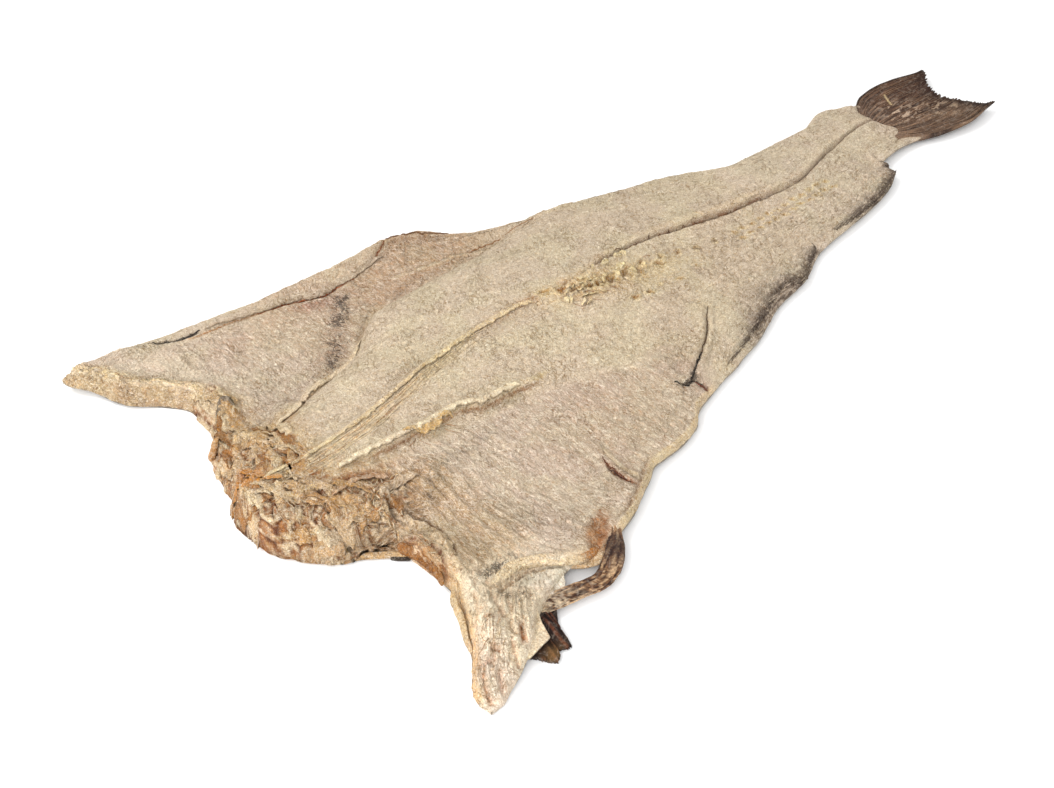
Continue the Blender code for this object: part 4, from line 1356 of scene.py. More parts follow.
def make_flesh():
    """The meat, in bands along the fish; each runs round its rim to a coarse underside."""
    s = Surface()
    for shape in (shape_loins, shape_left, shape_right, shape_rear, shape_neck, shape_right_collar,
                  shape_left_collar, shape_right_lug, shape_sockets):
        shape(s)
    top = displace(s)
    shading = normals(top)
    lining = np.maximum(s.lining_left, s.lining_right)
    first = 0
    for number, (_, rows) in enumerate(BANDS[1:]):
        part = slice(first, first + rows + 1)
        first += rows
        last = number == len(BANDS) - 2
        points, faces, loop, rings = band_mesh(top[part], number == 0, last)
        hidden = len(points) - top[part][..., 0].size - sum(len(ring) for ring in rings)

        def spread(values, below):
            """Values of the top carried round the rim and underneath."""
            flat = values[part].reshape(top[part][..., 0].size, -1)
            rim = np.tile(flat[loop], (len(rings), 1))
            return np.concatenate([flat, rim, np.broadcast_to(below, (hidden, flat.shape[1]))])

        tint = spread(s.tint, srgb(190, 170, 140))
        masks = {"lining": spread(lining, 0), "stain": spread(s.stain, 0)}
        smooth = spread(shading, (0, 0, -1.0))
        outward = smooth[len(smooth) - hidden - len(rings) * len(loop):len(smooth) - hidden]
        outward[:, 2] *= np.repeat((0.6, 0.0, -0.6), len(loop))
        piece(f"flesh_{number + 1}", points, faces, FLESH, tint, masks, smooth)
    return s, top


def make_skin():
    """The skin under the meat; its edge shows as a thin line round the fish."""
    rows, columns = 161, 91
    shares = np.linspace(0, 1, rows) ** 1.25
    sides = np.linspace(0, 1, columns)[None]
    right_y, left_y = RIGHT_SIDE[0][1], LEFT_SIDE[0][1]
    start = neck_cut(right_y + (left_y - right_y) * sides)
    x = start * (1 - shares[:, None]) + (FLESH_END + 4) * shares[:, None]
    low = right_side(x[:, :1])
    high = left_side(x[:, -1:])
    y = low + (high - low) * sides
    out_x, out_y = x - MIDDLE[0], y - MIDDLE[1]
    size = np.hypot(out_x, out_y) + 1e-9
    rim = np.zeros_like(x)
    rim[:2], rim[:, :2], rim[:, -2:] = 1, 1, 1
    grow = rim * (0.2 + 1.1 * cloud(x, y, 0, 14, 201, 3))
    grow = grow - 9 * np.exp(-((x - LUG_TIP[0]) ** 2 + (y - LUG_TIP[1]) ** 2) / 90)
    x, y = x + out_x / size * grow, y + out_y / size * grow
    z = skin_height(x, y)
    back = np.exp(-((y - midline(x)) / (0.5 * np.maximum(high - low, 20))) ** 2 * 2.2)
    tint = blended(srgb(176, 164, 148), back, (104, 96, 84))
    points, faces, tint = closed_sheet(x, y, z + SKIN_THICK, z, tint)
    piece("skin", points, faces, SKIN, tint)


TAIL_UPPER = ((574, 22), (592, 33), (606, 39), (626, 41), (645, 38), (674, 30))
TAIL_LOWER = ((574, -18), (592, -28), (612, -36), (640, -41), (673, -38))
TAIL_HIND_EDGE = ((0, 673), (0.1, 666), (0.35, 657), (0.5, 652), (0.68, 656), (1, 674))
TAIL_START, TAIL_RAYS = 574, 44


def make_tail_fin():
    """A fan of fine, branching rays with a hollow, frayed hind edge."""
    rows, columns = 84, 400
    u = np.linspace(0, 1, rows)[:, None]
    v = np.linspace(0, 1, columns)[None]
    hind = smooth_line(TAIL_HIND_EDGE)(v)
    ray = v * TAIL_RAYS
    frayed = 2.2 * noise(ray * 0.9, 0, 0, 211) + 2.0 * noise(ray * 2.3, 0, 0, 212) - 1.4
    hind = hind + frayed * ease(5 * v) * ease(5 * (1 - v))
    x = TAIL_START + (hind - TAIL_START) * u
    low, high = smooth_line(TAIL_LOWER)(x), smooth_line(TAIL_UPPER)(x)
    y = low + (high - low) * v
    wander = ray + 0.5 * cloud(u * 2.2, v * 9, 0, 1, 216, 2)
    rib = ridges(wander, u * 1.6, 0, 1.25, 217, 1)
    splinter = cloud(wander * 2.6, u * 2.4, 0, 1, 218, 3, 0.7)
    height = TAIL_ROOT_Z - 0.5 + 5 * u + 1.2 * np.sin(y / 9) * u
    thick = 5.5 * (1 - u) ** 1.5 + 1.0
    z = height + thick + ((rib - 0.5) * 0.8 + 0.5 * splinter) * ease(u * 6)
    droop = 2.0 * blob(x, y, (668, -33), (9, 7))
    patch = ease((cloud(x / 2.4, y, 0, 4, 215, 3, 0.8) - 0.08) / 0.14)
    tint = np.broadcast_to(srgb(104, 82, 68), x.shape + (3,))
    for share, colour in (
        (ease((u - 0.25) / 0.4) * ease((v - 0.4) / 0.3) * 0.7, (84, 56, 42)),
        (ease((0.42 - u) / 0.4) * 0.8, (140, 122, 110)),
        (ease((0.5 - v) / 0.3) * 0.45, (132, 114, 98)),
        (ease((splinter - 0.05) / 0.25) * 0.7, (158, 136, 116)),
        (ease((-splinter - 0.02) / 0.22) * 0.85, (52, 36, 28)),
        (ease((0.25 - rib) / 0.2) * 0.6, (48, 32, 25)),
        (ease((0.06 - v) / 0.05) * ease(splinter * 4) * 0.6, (150, 128, 106)),
        (blob(x, y, (640, -14), (28, 14), -20) * patch, (196, 182, 166)),
        (blob(x, y, (606, 4), (14, 14)) * patch * 0.9, (206, 194, 182)),
        (ease((u - 0.86 + 0.05 * splinter) / 0.1) * 0.75, (58, 38, 30)),
        (blob(x, y, (668, -31), (11, 9)) * ease(0.7 - splinter * 2), (40, 24, 18)),
        (blob(x, y, (655, 10), (14, 14)) * 0.6, (66, 42, 32)),
        (ease((v - 0.965) / 0.02) * ease(u * 3) * 0.8, (46, 32, 26)),
    ):
        tint = blended(tint, share, colour)
    tint = tint * (np.array([0.95, 0.81, 0.68]) * (1 - 0.16 * ease((u - 0.4) / 0.4))[..., None])
    tint = tint * (1 - 0.12 * ease((x[..., None] - 618 - 0.4 * y[..., None]) / 20))
    straw = to_line_near(x, y, ((611, 14), (614, 19), (620, 27)), 8)[0]
    tint = blended(tint, hill(straw, 0.7), (206, 182, 138))
    points, faces, tint = closed_sheet(x, y, z - droop, np.maximum(height - droop - 0.2, 0.1), tint, 0.8)
    piece("tail_fin", points, faces, FIN, tint)


ABOVE_ALL = 80  # a height over everything on the table


class Ground:
    """The flesh's finished surface, to lay tissue and fibres on."""

    def __init__(self, top, tint):
        self.columns = top.shape[1]
        self.tint = tint
        self.tree = BVHTree.FromPolygons(top.reshape(-1, 3).tolist(), grid_faces(*top.shape[:2]))

    def at(self, x, y, default=1.0):
        """Heights and colours of the surface below places in the plan."""
        shape = np.shape(x)
        heights, colours = [], []
        for px, py in zip(np.ravel(x), np.ravel(y)):
            hit, _, face, _ = self.tree.ray_cast(Vector((px, py, ABOVE_ALL)), Vector((0, 0, -1)))
            if hit is None:
                heights.append(default)
                colours.append(self.tint[0, 0])
            else:
                row, column = divmod(face, self.columns - 1)
                heights.append(hit.z)
                colours.append(self.tint[row, column])
        return np.array(heights).reshape(shape), np.array(colours).reshape(shape + (3,))


class Batch:
    """Several closed forms gathered into one piece of dried flesh."""

    def __init__(self):
        self.points, self.faces, self.tints, self.count = [], [], [], 0

    def add(self, points, faces, tint):
        self.faces += [[i + self.count for i in face] for face in faces]
        self.points.append(points)
        self.tints.append(np.broadcast_to(tint, points.shape))
        self.count += len(points)

    def build(self, name):
        points = np.concatenate(self.points)
        masks = {"lining": np.zeros(len(points))}
        piece(name, points, self.faces, FLESH, np.concatenate(self.tints), masks)


def loft(edge_a, edge_b, thick, sides, seed, rough, step, taper):
    """A closed strap whose section is an oval between two edge curves.

    thick lists its thicknesses along the way. taper is how much of its length
    narrows at either end, and step the length of its mesh's cells.
    Returns points, faces, and each point's share along and angle round.
    """
    a, b = np.array(edge_a, float), np.array(edge_b, float)
    length = np.linalg.norm(np.diff((a + b) / 2, axis=0), axis=1).sum()
    rows = max(6, int(length / step))
    share = np.linspace(0, 1, rows)
    curve_a, curve_b = smooth_path(a, length / 200), smooth_path(b, length / 200)
    side_a, side_b = spaced(curve_a, share), spaced(curve_b, share)
    centre, half = (side_a + side_b) / 2, (side_a - side_b) / 2
    run = np.gradient(centre, axis=0)
    normal = unit(np.cross(run, half))
    normal *= np.where(normal[:, 2:] < 0, -1, 1)
    ends = quarter_round(share, max(taper[0], 0.02)) * quarter_round(1 - share, max(taper[1], 0.02))
    angle = np.linspace(0, 2 * np.pi, sides, endpoint=False)
    body = np.interp(share, np.linspace(0, 1, len(thick)), thick) / 2
    round_x, round_y = np.cos(angle), np.sin(angle)
    reach, rise = ((np.sign(r) * np.abs(r) ** 0.8)[None, :, None] for r in (round_x, round_y))
    bumps = 1 + rough * cloud(round_x[None] * 1.4, round_y[None] * 1.4, share[:, None] * length / 9,
                              1, seed, 3, 0.6)
    wide = (half * ends[:, None])[:, None] * reach
    high = (normal * (body * ends)[:, None])[:, None] * rise
    points = centre[:, None] + (wide + high) * bumps[..., None]
    count = rows * sides
    faces = []
    for i in range(rows - 1):
        for j in range(sides):
            k, after = i * sides + j, i * sides + (j + 1) % sides
            faces.append([k, k + sides, after + sides, after])
    faces.append(list(range(sides)))
    faces.append(list(range(count - 1, count - sides - 1, -1)))
    where = np.stack([np.repeat(share, sides), np.tile(angle, rows)], 1)
    points = points.reshape(-1, 3)
    points[:, 2] = np.maximum(points[:, 2], TABLE_GAP)
    return points, faces, where


def lay_flap(batch, ground, edge, reach, lift, colour, thick, seed, rag, ease_in=12, step=0.7):
    """Torn tissue that lies on the meat, with a ragged free edge along a curve.

    reach is how far it goes back from the edge, to the curve's left if positive.
    """
    path = smooth_path([p[:2] for p in edge], step)
    run = unit(np.gradient(path, axis=0))
    side = np.stack([-run[:, 1], run[:, 0]], 1)
    rows, columns = len(path), max(6, int(abs(reach) / 0.7) + 2)
    along = np.arange(rows) * step
    fade = quarter_round(along, ease_in) * quarter_round(along[-1] - along, ease_in)
    back = np.linspace(1, 0, columns)[None]  # 1 where attached, 0 at the free edge
    torn = rag * (1.3 * cloud(along, 0, 0, 5, seed, 3, 0.65) + 0.5 * cloud(along, 0, 0, 17, seed + 9, 1))
    offset = back * reach * fade[:, None] + (torn * fade)[:, None] * (1 - back) * np.sign(reach) * -1
    x = path[:, :1] + side[:, :1] * offset
    y = path[:, 1:] + side[:, 1:] * offset
    height, under = ground.at(x, y)
    free = 1 - back
    wave = 1 + 0.8 * cloud(along, 0, 0, 8, seed + 5, 2)[:, None]
    z = height - 0.35 + (0.6 + thick) * ease(free / 0.35) + lift * free**2 * wave * fade[:, None]
    z = z + 0.35 * cloud(x, y, 0, 3.5, seed + 3, 2)
    body = thick * (0.35 + 0.65 * ease(free * 2)) + 0.3 * (1 - free)
    tint = blended(under, ease(free * 1.4) * np.ones_like(x), colour)
    batch.add(*closed_sheet(x, y, z, z - body, tint, 0.8, 1 if reach > 0 else None))


def add_thread(batch, ground, path, radius, colour, lift=0.4, sides=5):
    """A thin fibre over the meat; path is (x, y, height above it)."""
    path = np.array(path, float)
    height, _ = ground.at(path[:, 0], path[:, 1])
    centre = np.stack([path[:, 0], path[:, 1], height + path[:, 2] + lift * radius], 1)
    run = unit(np.gradient(centre, axis=0))
    side = unit(np.cross(run, (0, 0, 1.0)))
    up = np.cross(side, run)
    rows = len(path)
    size = radius * np.sqrt(np.sin(np.linspace(0.12, 0.9, rows) * np.pi))
    angle = np.linspace(0, 2 * np.pi, sides, endpoint=False)
    ring = side[:, None] * np.cos(angle)[None, :, None] + up[:, None] * np.sin(angle)[None, :, None]
    points = (centre[:, None] + ring * size[:, None, None]).reshape(-1, 3)
    faces = []
    for start in range(0, (rows - 1) * sides, sides):
        for j in range(sides):
            k, after = start + j, start + (j + 1) % sides
            faces.append([k, after, after + sides, k + sides])
    faces += [list(range(sides))[::-1], list(range((rows - 1) * sides, rows * sides))]
    batch.add(points, faces, colour)


STRAP_SIDES = 40
STRAP_THICK = (3.6, 3, 2.6, 2.4, 2.6, 3, 3, 2)  # along its length
STRAP_UPPER = (
    (57, -150, 9.5), (63, -151.5, 8.5), (68, -152.5, 7.5), (75, -153.5, 7.5), (82, -155, 7.5),
    (91, -157.5, 7.5), (98, -159.5, 7.5), (104, -160.5, 7.5), (111.5, -157.5, 8), (119.5, -153, 8.5),
    (128.5, -147, 9.5), (135, -141.5, 9.5), (140, -135, 7.5),
)
STRAP_LOWER = (
    (60, -155.5, 6.5), (66.5, -159, 5.5), (73, -162, 5), (82.5, -164.5, 5), (91, -166.5, 5),
    (98.5, -169, 5), (106.5, -169.8, 5), (113.8, -168, 5), (121, -164.8, 5.5), (127.6, -159.5, 6),
    (133, -153, 7), (138, -146, 7.5), (143.5, -139, 6.5),
)


def make_strap():
    """The dried pelvic fin, a flattened and twisted strap from the lug to the flap."""
    points, faces, where = loft(STRAP_UPPER, STRAP_LOWER, STRAP_THICK, STRAP_SIDES, 301, 0.14,
                                0.8, (0.10, 0.06))
    share, angle = where.T
    streak = cloud(np.cos(angle) * 3.5, np.sin(angle) * 3.5, share * 6 + angle / 5, 1, 303, 3, 0.6)
    mottle = 0.45 * cloud(*points.T, 1.5, 308, 2, 0.7)
    flecks = ease((cloud(*points.T, 2.6, 305, 3, 0.7) + 0.1) / 0.12)
    tint = srgb(108, 74, 48)
    for weight, colour in (
        (ease((streak + mottle - 0.08) / 0.16), (184, 152, 116)),
        (ease((0.04 - streak - mottle) / 0.2), (42, 20, 12)),
        (ease((0.42 - share) / 0.3) * flecks, (196, 176, 148)),
        (hill(angle - 5.6, 0.5) * between(share, 0.25, 0.6, 0.1) * ease(streak * 3 + 0.6), (176, 96, 40)),
        (hill(share - 0.74, 0.1) * ease(streak + 0.6), (66, 50, 42)),
        (ease((share - 0.80) / 0.14), (176, 132, 92)),
        (ease((0.16 - share) / 0.1), (190, 168, 136)),
    ):
        tint = blended(tint, weight, colour)
    ridged = np.sin(angle * 9 + share * 16 + 3 * cloud(share * 4, angle / 2, 0, 1, 306))
    centre = points.reshape(-1, STRAP_SIDES, 3).mean(1).repeat(STRAP_SIDES, 0)
    points = points + unit(points - centre) * (0.3 * ridged + 0.5 * streak)[:, None]
    tint = blended(tint, ease(-ridged - 0.5) * 0.6, (70, 48, 36))
    piece("pelvic_strap", points, faces, FIN, tint)


PECTORAL_ROOT = ((0, 52, -152), (0.5, 64, -150), (1, 80, -146))
PECTORAL_EDGE = (
    (0, 43, -171), (0.12, 47, -176), (0.22, 50, -181.5), (0.3, 52.5, -184.5), (0.38, 56, -183),
    (0.45, 57.5, -179.5), (0.55, 61, -181), (0.62, 64.5, -182.8), (0.7, 65.5, -178), (0.8, 66.5, -173),
    (0.9, 70.5, -167), (1, 77, -159),
)


def make_pectoral_fin():
    """The dark pectoral fin, folded under the right lug, with its frayed rays."""
    rows, columns = 48, 150
    u = np.linspace(0, 1, rows)[:, None]
    v = np.linspace(0, 1, columns)[None]
    shares = [station[0] for station in PECTORAL_EDGE]
    edge = [np.interp(v, shares, [station[k] for station in PECTORAL_EDGE]) for k in (1, 2)]
    root = [np.interp(v, (0, 0.5, 1), [station[k] for station in PECTORAL_ROOT]) for k in (1, 2)]
    fray = 1 + 0.05 * noise(v * 60, 0, 0, 311)
    x = root[0] + (edge[0] - root[0]) * u * fray
    y = root[1] + (edge[1] - root[1]) * u * fray
    rays = np.sin(v * 15 * math.pi + 0.8 * noise(u * 3, v * 6, 0, 312))
    swell = 2.2 * blob(x, y, (64, -172), (5, 9))
    base = 0.5 + (1 - u) + swell + 1.2 * blob(x, y, (55, -180), (3, 5))
    z = base + 4.0 * (1 - u) ** 1.2 + 2.0 + 0.7 * rays * ease(u * 4) + 0.5 * cloud(x, y, 0, 4, 313)
    warm = ease((rays - 0.1) / 0.8) * ease((cloud(x, y, 0, 9, 314) + 0.35) / 0.4)
    tint = blended(srgb(34, 17, 12), warm, (88, 46, 24))
    tint = blended(tint, blob(x, y, (54, -181), (6, 5)) * 0.7, (122, 90, 50))
    points, faces, tint = closed_sheet(x, y, z, np.maximum(base - 0.4, TABLE_GAP), tint, 0.7, 0)
    piece("pectoral_fin", points, faces, FIN, tint)


def make_margins(ground):
    """Remains of the dark fins along the right rear edge: thin frayed blades of rays."""
    batch = Batch()
    for stations, seed in ((FIRST_FIN, 341), (SECOND_FIN, 347)):
        stations = np.array(stations, float)
        steps = np.hypot(*np.diff(stations[:, :2], axis=0).T)
        shares = np.concatenate([[0], np.cumsum(steps)]) / steps.sum()
        along = np.linspace(0, 1, int(steps.sum() * 1.6))
        line = [np.interp(along, shares, stations[:, k])[:, None] for k in range(4)]
        u = ease(np.linspace(0, 1, 34)[None])  # 0 at the root, 1 at the free edge
        along = along[:, None]
        fray = 1.1 * noise(along * 90, 0, 0, seed + 1) + 0.8 * noise(along * 33, 0, 0, seed + 2)
        x = line[2] + (line[0] - line[2]) * u
        y = line[3] + (line[1] - line[3]) * u + fray * u**4
        height, under = ground.at(x, np.maximum(y, right_side(x) + 1.5), 2.5)
        across, run = y - FIN_LEAN * x, x + FIN_LEAN * y
        streak = ridges(across / 1.3, run / 30, 0, 1, seed + 3, 3, 0.65)
        z = height + 0.6 - 1.2 * ease((0.2 - u) / 0.2) + 0.8 * (streak - 0.4)
        dark = ease((u - 0.45) / 0.5) * ease((0.7 - streak) / 0.3) * 0.85
        tint = blended(under * (0.8 + 0.5 * streak)[..., None], dark, (60, 46, 39))
        batch.add(*closed_sheet(x, y, z, np.maximum(z - 0.9, 0.3), tint, 0.6, 1))
    batch.build("fin_margins")


def make_tissue(ground):
    """Torn membranes and flaps that stand proud of the meat."""
    batch = Batch()
    stations = (34, 38, 43, 49, 55, 60, 67, 74, 84, 95, 110, 122, 134)
    collar = [(x, float(collar_edge(x)) - 0.8) for x in stations]
    ridge = [(x, float(midline(x)) - 1.6) for x in range(8, 236, 12)]
    fold = [(x, min(float(left_fold(x)), float(left_side(x)) - 5) - 0.2) for x in range(74, 214, 10)]
    # Each flap: its edge, reach, lift, colour, thickness, seed, raggedness and soft ends.
    flaps = [
        (collar, 6, 0.6, (238, 220, 190), 0.8, 401, 2.0),
        (ridge, 4.5, 1.1, (238, 218, 174), 0.9, 405, 1.2),
        # The right membrane's torn curls, painted lighter than their own colour against their shade.
        (RIGHT_MEMBRANE[1:8], 6, 1.4, (252, 238, 208), 1.4, 409, 1.5),
        (((88, -27), (97, -33), (106, -35), (114, -32), (120, -33)), 6, 3.0,
         (240, 204, 138), 1.4, 411, 1.6, 5),
    ]
    for k in range(26):  # frilly petals of tissue round the sockets
        x, turn = 238 + 66 * ((k * 0.618) % 1), k * 2.4
        centre = np.array((x, float(midline(x)) - 12 + 9 * math.sin(k * 1.7)))
        turns = [turn + bend for bend in (-0.9, -0.3, 0.3, 0.9)]
        arc = [centre + 4.4 * np.array((math.cos(a), 0.7 * math.sin(a))) for a in turns]
        flaps.append((arc, 2.8, 1.5, (255, 238, 190), 0.6, 600 + k, 0.7, 2, 0.6))
    flaps.append((fold, 4, 0.5, (206, 190, 168), 0.9, 415, 0.7))
    flaps.append(([(x, y + 0.6) for x, y in SECOND_CREASE], -5, 0.5, (212, 192, 162), 0.7, 419, 0.8))
    for k, (edge, _, reach, lift, colour) in enumerate(FLAKES):  # torn layers of the stump and collar
        flaps.append((edge, reach, lift, colour, 0.9, 700 + 11 * k, 1.1, 3))
    flaps += [
        (((12, 33), (20, 38), (26, 34), (25, 24), (27, 14)), 7, 1.6, (222, 190, 148), 1.0, 423, 1.6, 4),
        (((32, 75), (36, 77.5), (40, 78), (45, 74)), -3, 2.0, (140, 128, 114), 0.9, 427, 0.5, 3),
        (((78, -52), (66, -51), (58, -51), (56, -58), (60, -68), (66, -76)), -7, 1.2,
         (214, 192, 160), 1.0, 431, 0.8, 5),
        (((66, -76), (65, -88), (61, -98), (56, -107)), -6, 1.0, (216, 192, 158), 0.9, 435, 0.9),
        (((10, -24), (16, -27), (22, -27), (29, -29)), 6, 1.4, (224, 198, 148), 1.0, 439, 1.4, 3),
        (((30, -38), (42, -39), (54, -40), (64, -44)), 6, 1.2, (206, 168, 132), 0.9, 443, 1.6, 5),
        (((168, -132), (167, -120), (169, -108), (172, -100)), -5, 1.2,
         (214, 194, 166), 0.8, 447, 0.4, 4),
    ]
    for flap in flaps:
        lay_flap(batch, ground, *flap)
    batch.build("torn_tissue")


def sheet_between(upper, lower, columns):
    """A grid between two paths, with its shares along them and across."""
    along, across = np.linspace(0, 1, 40)[:, None], np.linspace(0, 1, columns)[None]
    first, second = (spaced(np.array(line), along[:, 0])[:, None] for line in (upper, lower))
    return first * (1 - across[..., None]) + second * across[..., None], along, across


def add_strap(batch, edge_a, edge_b, thick, colour, seed, rough, taper=(0.12, 0.12), end=None):
    """A lofted lip of tissue with painted shade on its lower side; end is its colour at its far end."""
    points, faces, where = loft(edge_a, edge_b, thick, 24, seed, rough, 0.7, taper)
    side = np.clip(0.5 + 0.5 * np.sin(where[:, 1:]), 0, 1)
    near_end = ease((where[:, 0] - 0.72) / 0.2) * (end is not None)
    tint = blended(srgb(*colour), near_end, end or colour)
    batch.add(points, faces, tint * (0.75 + 0.25 * side))


# The triangular flap over the pectoral fin, with straight cut edges.
FLAP_INNER = ((60, -148, 15), (56, -154, 15.5), (51, -160, 14.5), (47, -166, 12.5), (42, -171, 10))
FLAP_OUTER = ((66, -155, 12), (62.5, -161, 10.5), (60, -166, 9.5), (57.5, -174.5, 8), (41, -176, 6.5))
# Lips and loose ends: two edges, thicknesses, colour, seed and roughness.
LIPS = (
    # The lower lip of the hollow and the dark bit beneath its end.
    (((18, -55, 3.6), (26, -60, 3.2), (34, -66, 3.0), (42, -73, 3.2), (48, -80, 3.5)),
     ((16, -57.5, 1.2), (24, -62.5, 1.0), (32, -68.5, 1.0), (40, -75.5, 1.2), (47, -82.5, 1.8)),
     (2.0, 1.6, 1.6, 1.6), (196, 164, 118), 455, 0.4),
    (((40, -71, 2.0), (44, -75, 2.2), (48, -80, 2.2)), ((37, -74, 0.8), (41, -79, 0.8), (45, -83, 1.0)),
     (1.6, 1.6), (58, 50, 44), 459, 0.3),
    # The rim's orange-brown strip.
    (((45, -72, 8), (48, -82, 9.5), (49, -92, 10), (48, -102, 9), (45, -110, 8)),
     ((42, -74, 4), (44.5, -83, 4), (45.5, -93, 4.5), (44.5, -103, 4.5), (42, -111, 4.5)),
     (1.6, 1.4, 1.2), (158, 106, 50), 463, 0.6),
    # Loose ends at the stump's left corner and middle.
    (((16, 46, 9), (10, 42, 8), (6, 38, 7)), ((14, 40, 5), (8, 37, 4), (4, 35, 5)),
     (3, 2.5), (226, 204, 166), 467, 0.4),
    (((24, 60, 10), (18, 54, 10), (12, 48, 9)), ((20, 62, 5), (14, 56, 5), (9, 50, 5)),
     (3, 3), (208, 158, 100), 471, 0.6),
    (((-4, 4, 11), (-5, 0, 10), (-6, -4, 7)), ((-5, 5, 6), (-6.5, 1, 5), (-7, -3, 4)),
     (2, 2), (86, 78, 70), 475, 0.4),
    # The nodule under the strands.
    (((8, -47, 15), (15, -51, 15), (23, -54, 12)), ((6, -51, 7), (13, -55.5, 6), (21, -59, 6)),
     (5, 6, 4), (204, 170, 126), 479, 0.4),
)
# Two edges, sag, colour, seed, and whether the far end is stained brown.
MEMBRANES = (
    # The pale membrane between the right lug and the strap, painted lighter than its own colour against
    # the shade it lies in.
    (((60, -141, 13), (66, -141, 12), (75, -139.5, 11), (83, -141, 10.5), (89, -143.5, 9.5),
      (94, -147, 8)),
     ((60, -151, 11), (66, -152.5, 9.5), (74, -154, 8.5), (80, -155.5, 8), (85, -156, 7.5),
      (89, -153.5, 7)),
     1.2, (252, 248, 236), 483, False),
    # The flap's rim beyond it.
    (((97, -138, 8), (108, -138, 8), (119, -137, 8.5), (129, -134, 9), (138, -131, 10)),
     ((99, -148.5, 6), (106, -154, 6), (114, -156.5, 6.5), (125, -152.5, 7.5), (137, -145, 9.5)),
     -0.8, (220, 186, 146), 487, True),
)
ROLLS = (
    # The rolled ridge over the membrane, which runs on along the flap's rim and browns there.
    (((50, -134, 15), (58, -131.5, 15.5), (66, -129.5, 15.5), (74, -129, 15), (83, -131.5, 14),
      (91, -136.5, 13), (98, -142, 12), (107, -147, 10), (118, -147, 9)),
     ((52, -139, 14), (59, -137, 14), (67, -135.5, 14), (73, -135, 13.5), (80, -137.5, 12.5),
      (88, -142.5, 11.5), (96, -148, 10), (106, -151.5, 7.5), (118, -152, 6.5)),
     (3.6, 3.4, 3.2, 3.0, 2.4), (244, 222, 186), 495, 0.22, (0.2, 0.1), (176, 118, 62)),
    # The lug's rolled front lip; painted shade darkens the gap behind it.
    (((42, -119, 13), (38, -127, 12), (34, -136, 11), (29, -145, 9.5), (25, -153, 8)),
     ((38, -121, 6), (34.5, -129, 6), (30.5, -138, 5.5), (26, -146, 5), (23, -154, 4.5)),
     (1.8, 1.6, 1.4), (226, 198, 154), 491, 0.5),
)


def make_lug_parts():
    """The pale flap beside the right lug, its membrane and rolled edges, and the neck's lips."""
    batch = Batch()
    sheet, along, across = sheet_between(FLAP_INNER, FLAP_OUTER, 24)
    dip = 2.6 * np.sin(np.pi * across) * np.sin(np.pi * along)
    sheet[..., 2] -= dip + 0.4 * cloud(sheet[..., 0], sheet[..., 1], 0, 6, 451, 2)
    # Painted shade along the flap's inner edge, beside the lug.
    tint = srgb(244, 228, 198) * (1 - 0.55 * hill(across - 0.05, 0.16) * np.ones((40, 1)))[..., None]
    x, y, z = np.moveaxis(sheet, -1, 0)
    batch.add(*closed_sheet(x, y, z, z - 1.1, tint, 0.6))
    for lip in LIPS:
        add_strap(batch, *lip)
    for upper, lower, sag, colour, seed, stained in MEMBRANES:
        sheet, along, across = sheet_between(smooth_path(upper, 0.5), smooth_path(lower, 0.5), 22)
        x, y, z = np.moveaxis(sheet, -1, 0)
        z = z - sag * np.sin(np.pi * across) * np.sin(np.pi * along) ** 0.5
        rough = cloud(x, y, 0, 5, seed, 3, 0.6)
        z = z + 0.7 * rough
        y = y - 0.9 * rough * ease((across - 0.8) / 0.2)
        tint = srgb(*colour) * (1 + 0.10 * rough[..., None])
        browned = stained * ease((along - 0.35) / 0.3) * (0.7 + 0.3 * ease((across - 0.3) / 0.3))
        tint = blended(tint, browned, (142, 82, 40))
        near_ridge = ease((0.3 - across) / 0.3) * (1 - stained * ease((along - 0.4) / 0.2))
        tint = blended(tint, near_ridge, (222, 200, 168))
        batch.add(*closed_sheet(x, y, z, z - 1.0, tint, 0.7))
    for roll in ROLLS:
        add_strap(batch, *roll)
    batch.build("lug_flaps")


STRANDS = (  # yellow fibres over the hollow, as plan points
    ((58, -41), (53, -44), (47, -47), (42, -50), (36, -51), (31, -50), (25, -50), (24, -52), (21, -59)),
    ((60, -40), (56, -46), (50, -49), (45, -52), (47, -58), (49, -64), (48, -72)),
    ((70, -44), (62, -46), (55, -46), (48, -46), (42, -48)),
    ((64, -50), (56, -52), (50, -55), (44, -55), (36, -54), (30, -54)),
    ((36, -44), (32, -48), (28, -52), (24, -56)),
    ((52, -40), (50, -46), (50, -52), (52, -58)),
)


CREASE_SHADE_THREADS = (  # dark threads at the bottom of creases and cracks, as painted shade: plan points, half width, colour, seed
    ([(x, float(fold_line(x)) - 0.4) for x in range(108, 214, 8)], 0.5, (160, 88, 44), 521),
    ([(x, float(fold_line(x)) - 0.4) for x in range(62, 112, 7)], 0.3, (196, 148, 96), 523),
    (((168, -104), (166, -113), (165, -121), (165, -129)), 0.5, (110, 52, 24), 525),
    (((165, -113), (164.5, -120), (165, -126)), 0.7, (80, 34, 16), 527),
    (VENT_CRACK, 0.34, (92, 72, 56), 529),
    (VENT_CRACK[:3], 0.75, (30, 24, 22), 530),
    (((242, -92), (246, -97), (252, -98), (256, -102)), 0.9, (38, 32, 30), 531),
    (((252, -98), (255, -102), (257, -106)), 0.6, (124, 52, 30), 533),
    (((214, 140), (226, 138), (240, 130), (253, 121)), 0.6, (124, 88, 58), 535),
    (((192, 109), (216, 104), (240, 99), (268, 92), (300, 86)), 0.4, (170, 116, 66), 537),
    (LUG_BLACK_LINE, 0.7, (50, 44, 42), 539),
    (((300, 12), (315, 9.5), (330, 10), (346, 8), (362, 5)), 0.4, (108, 72, 44), 541),
)


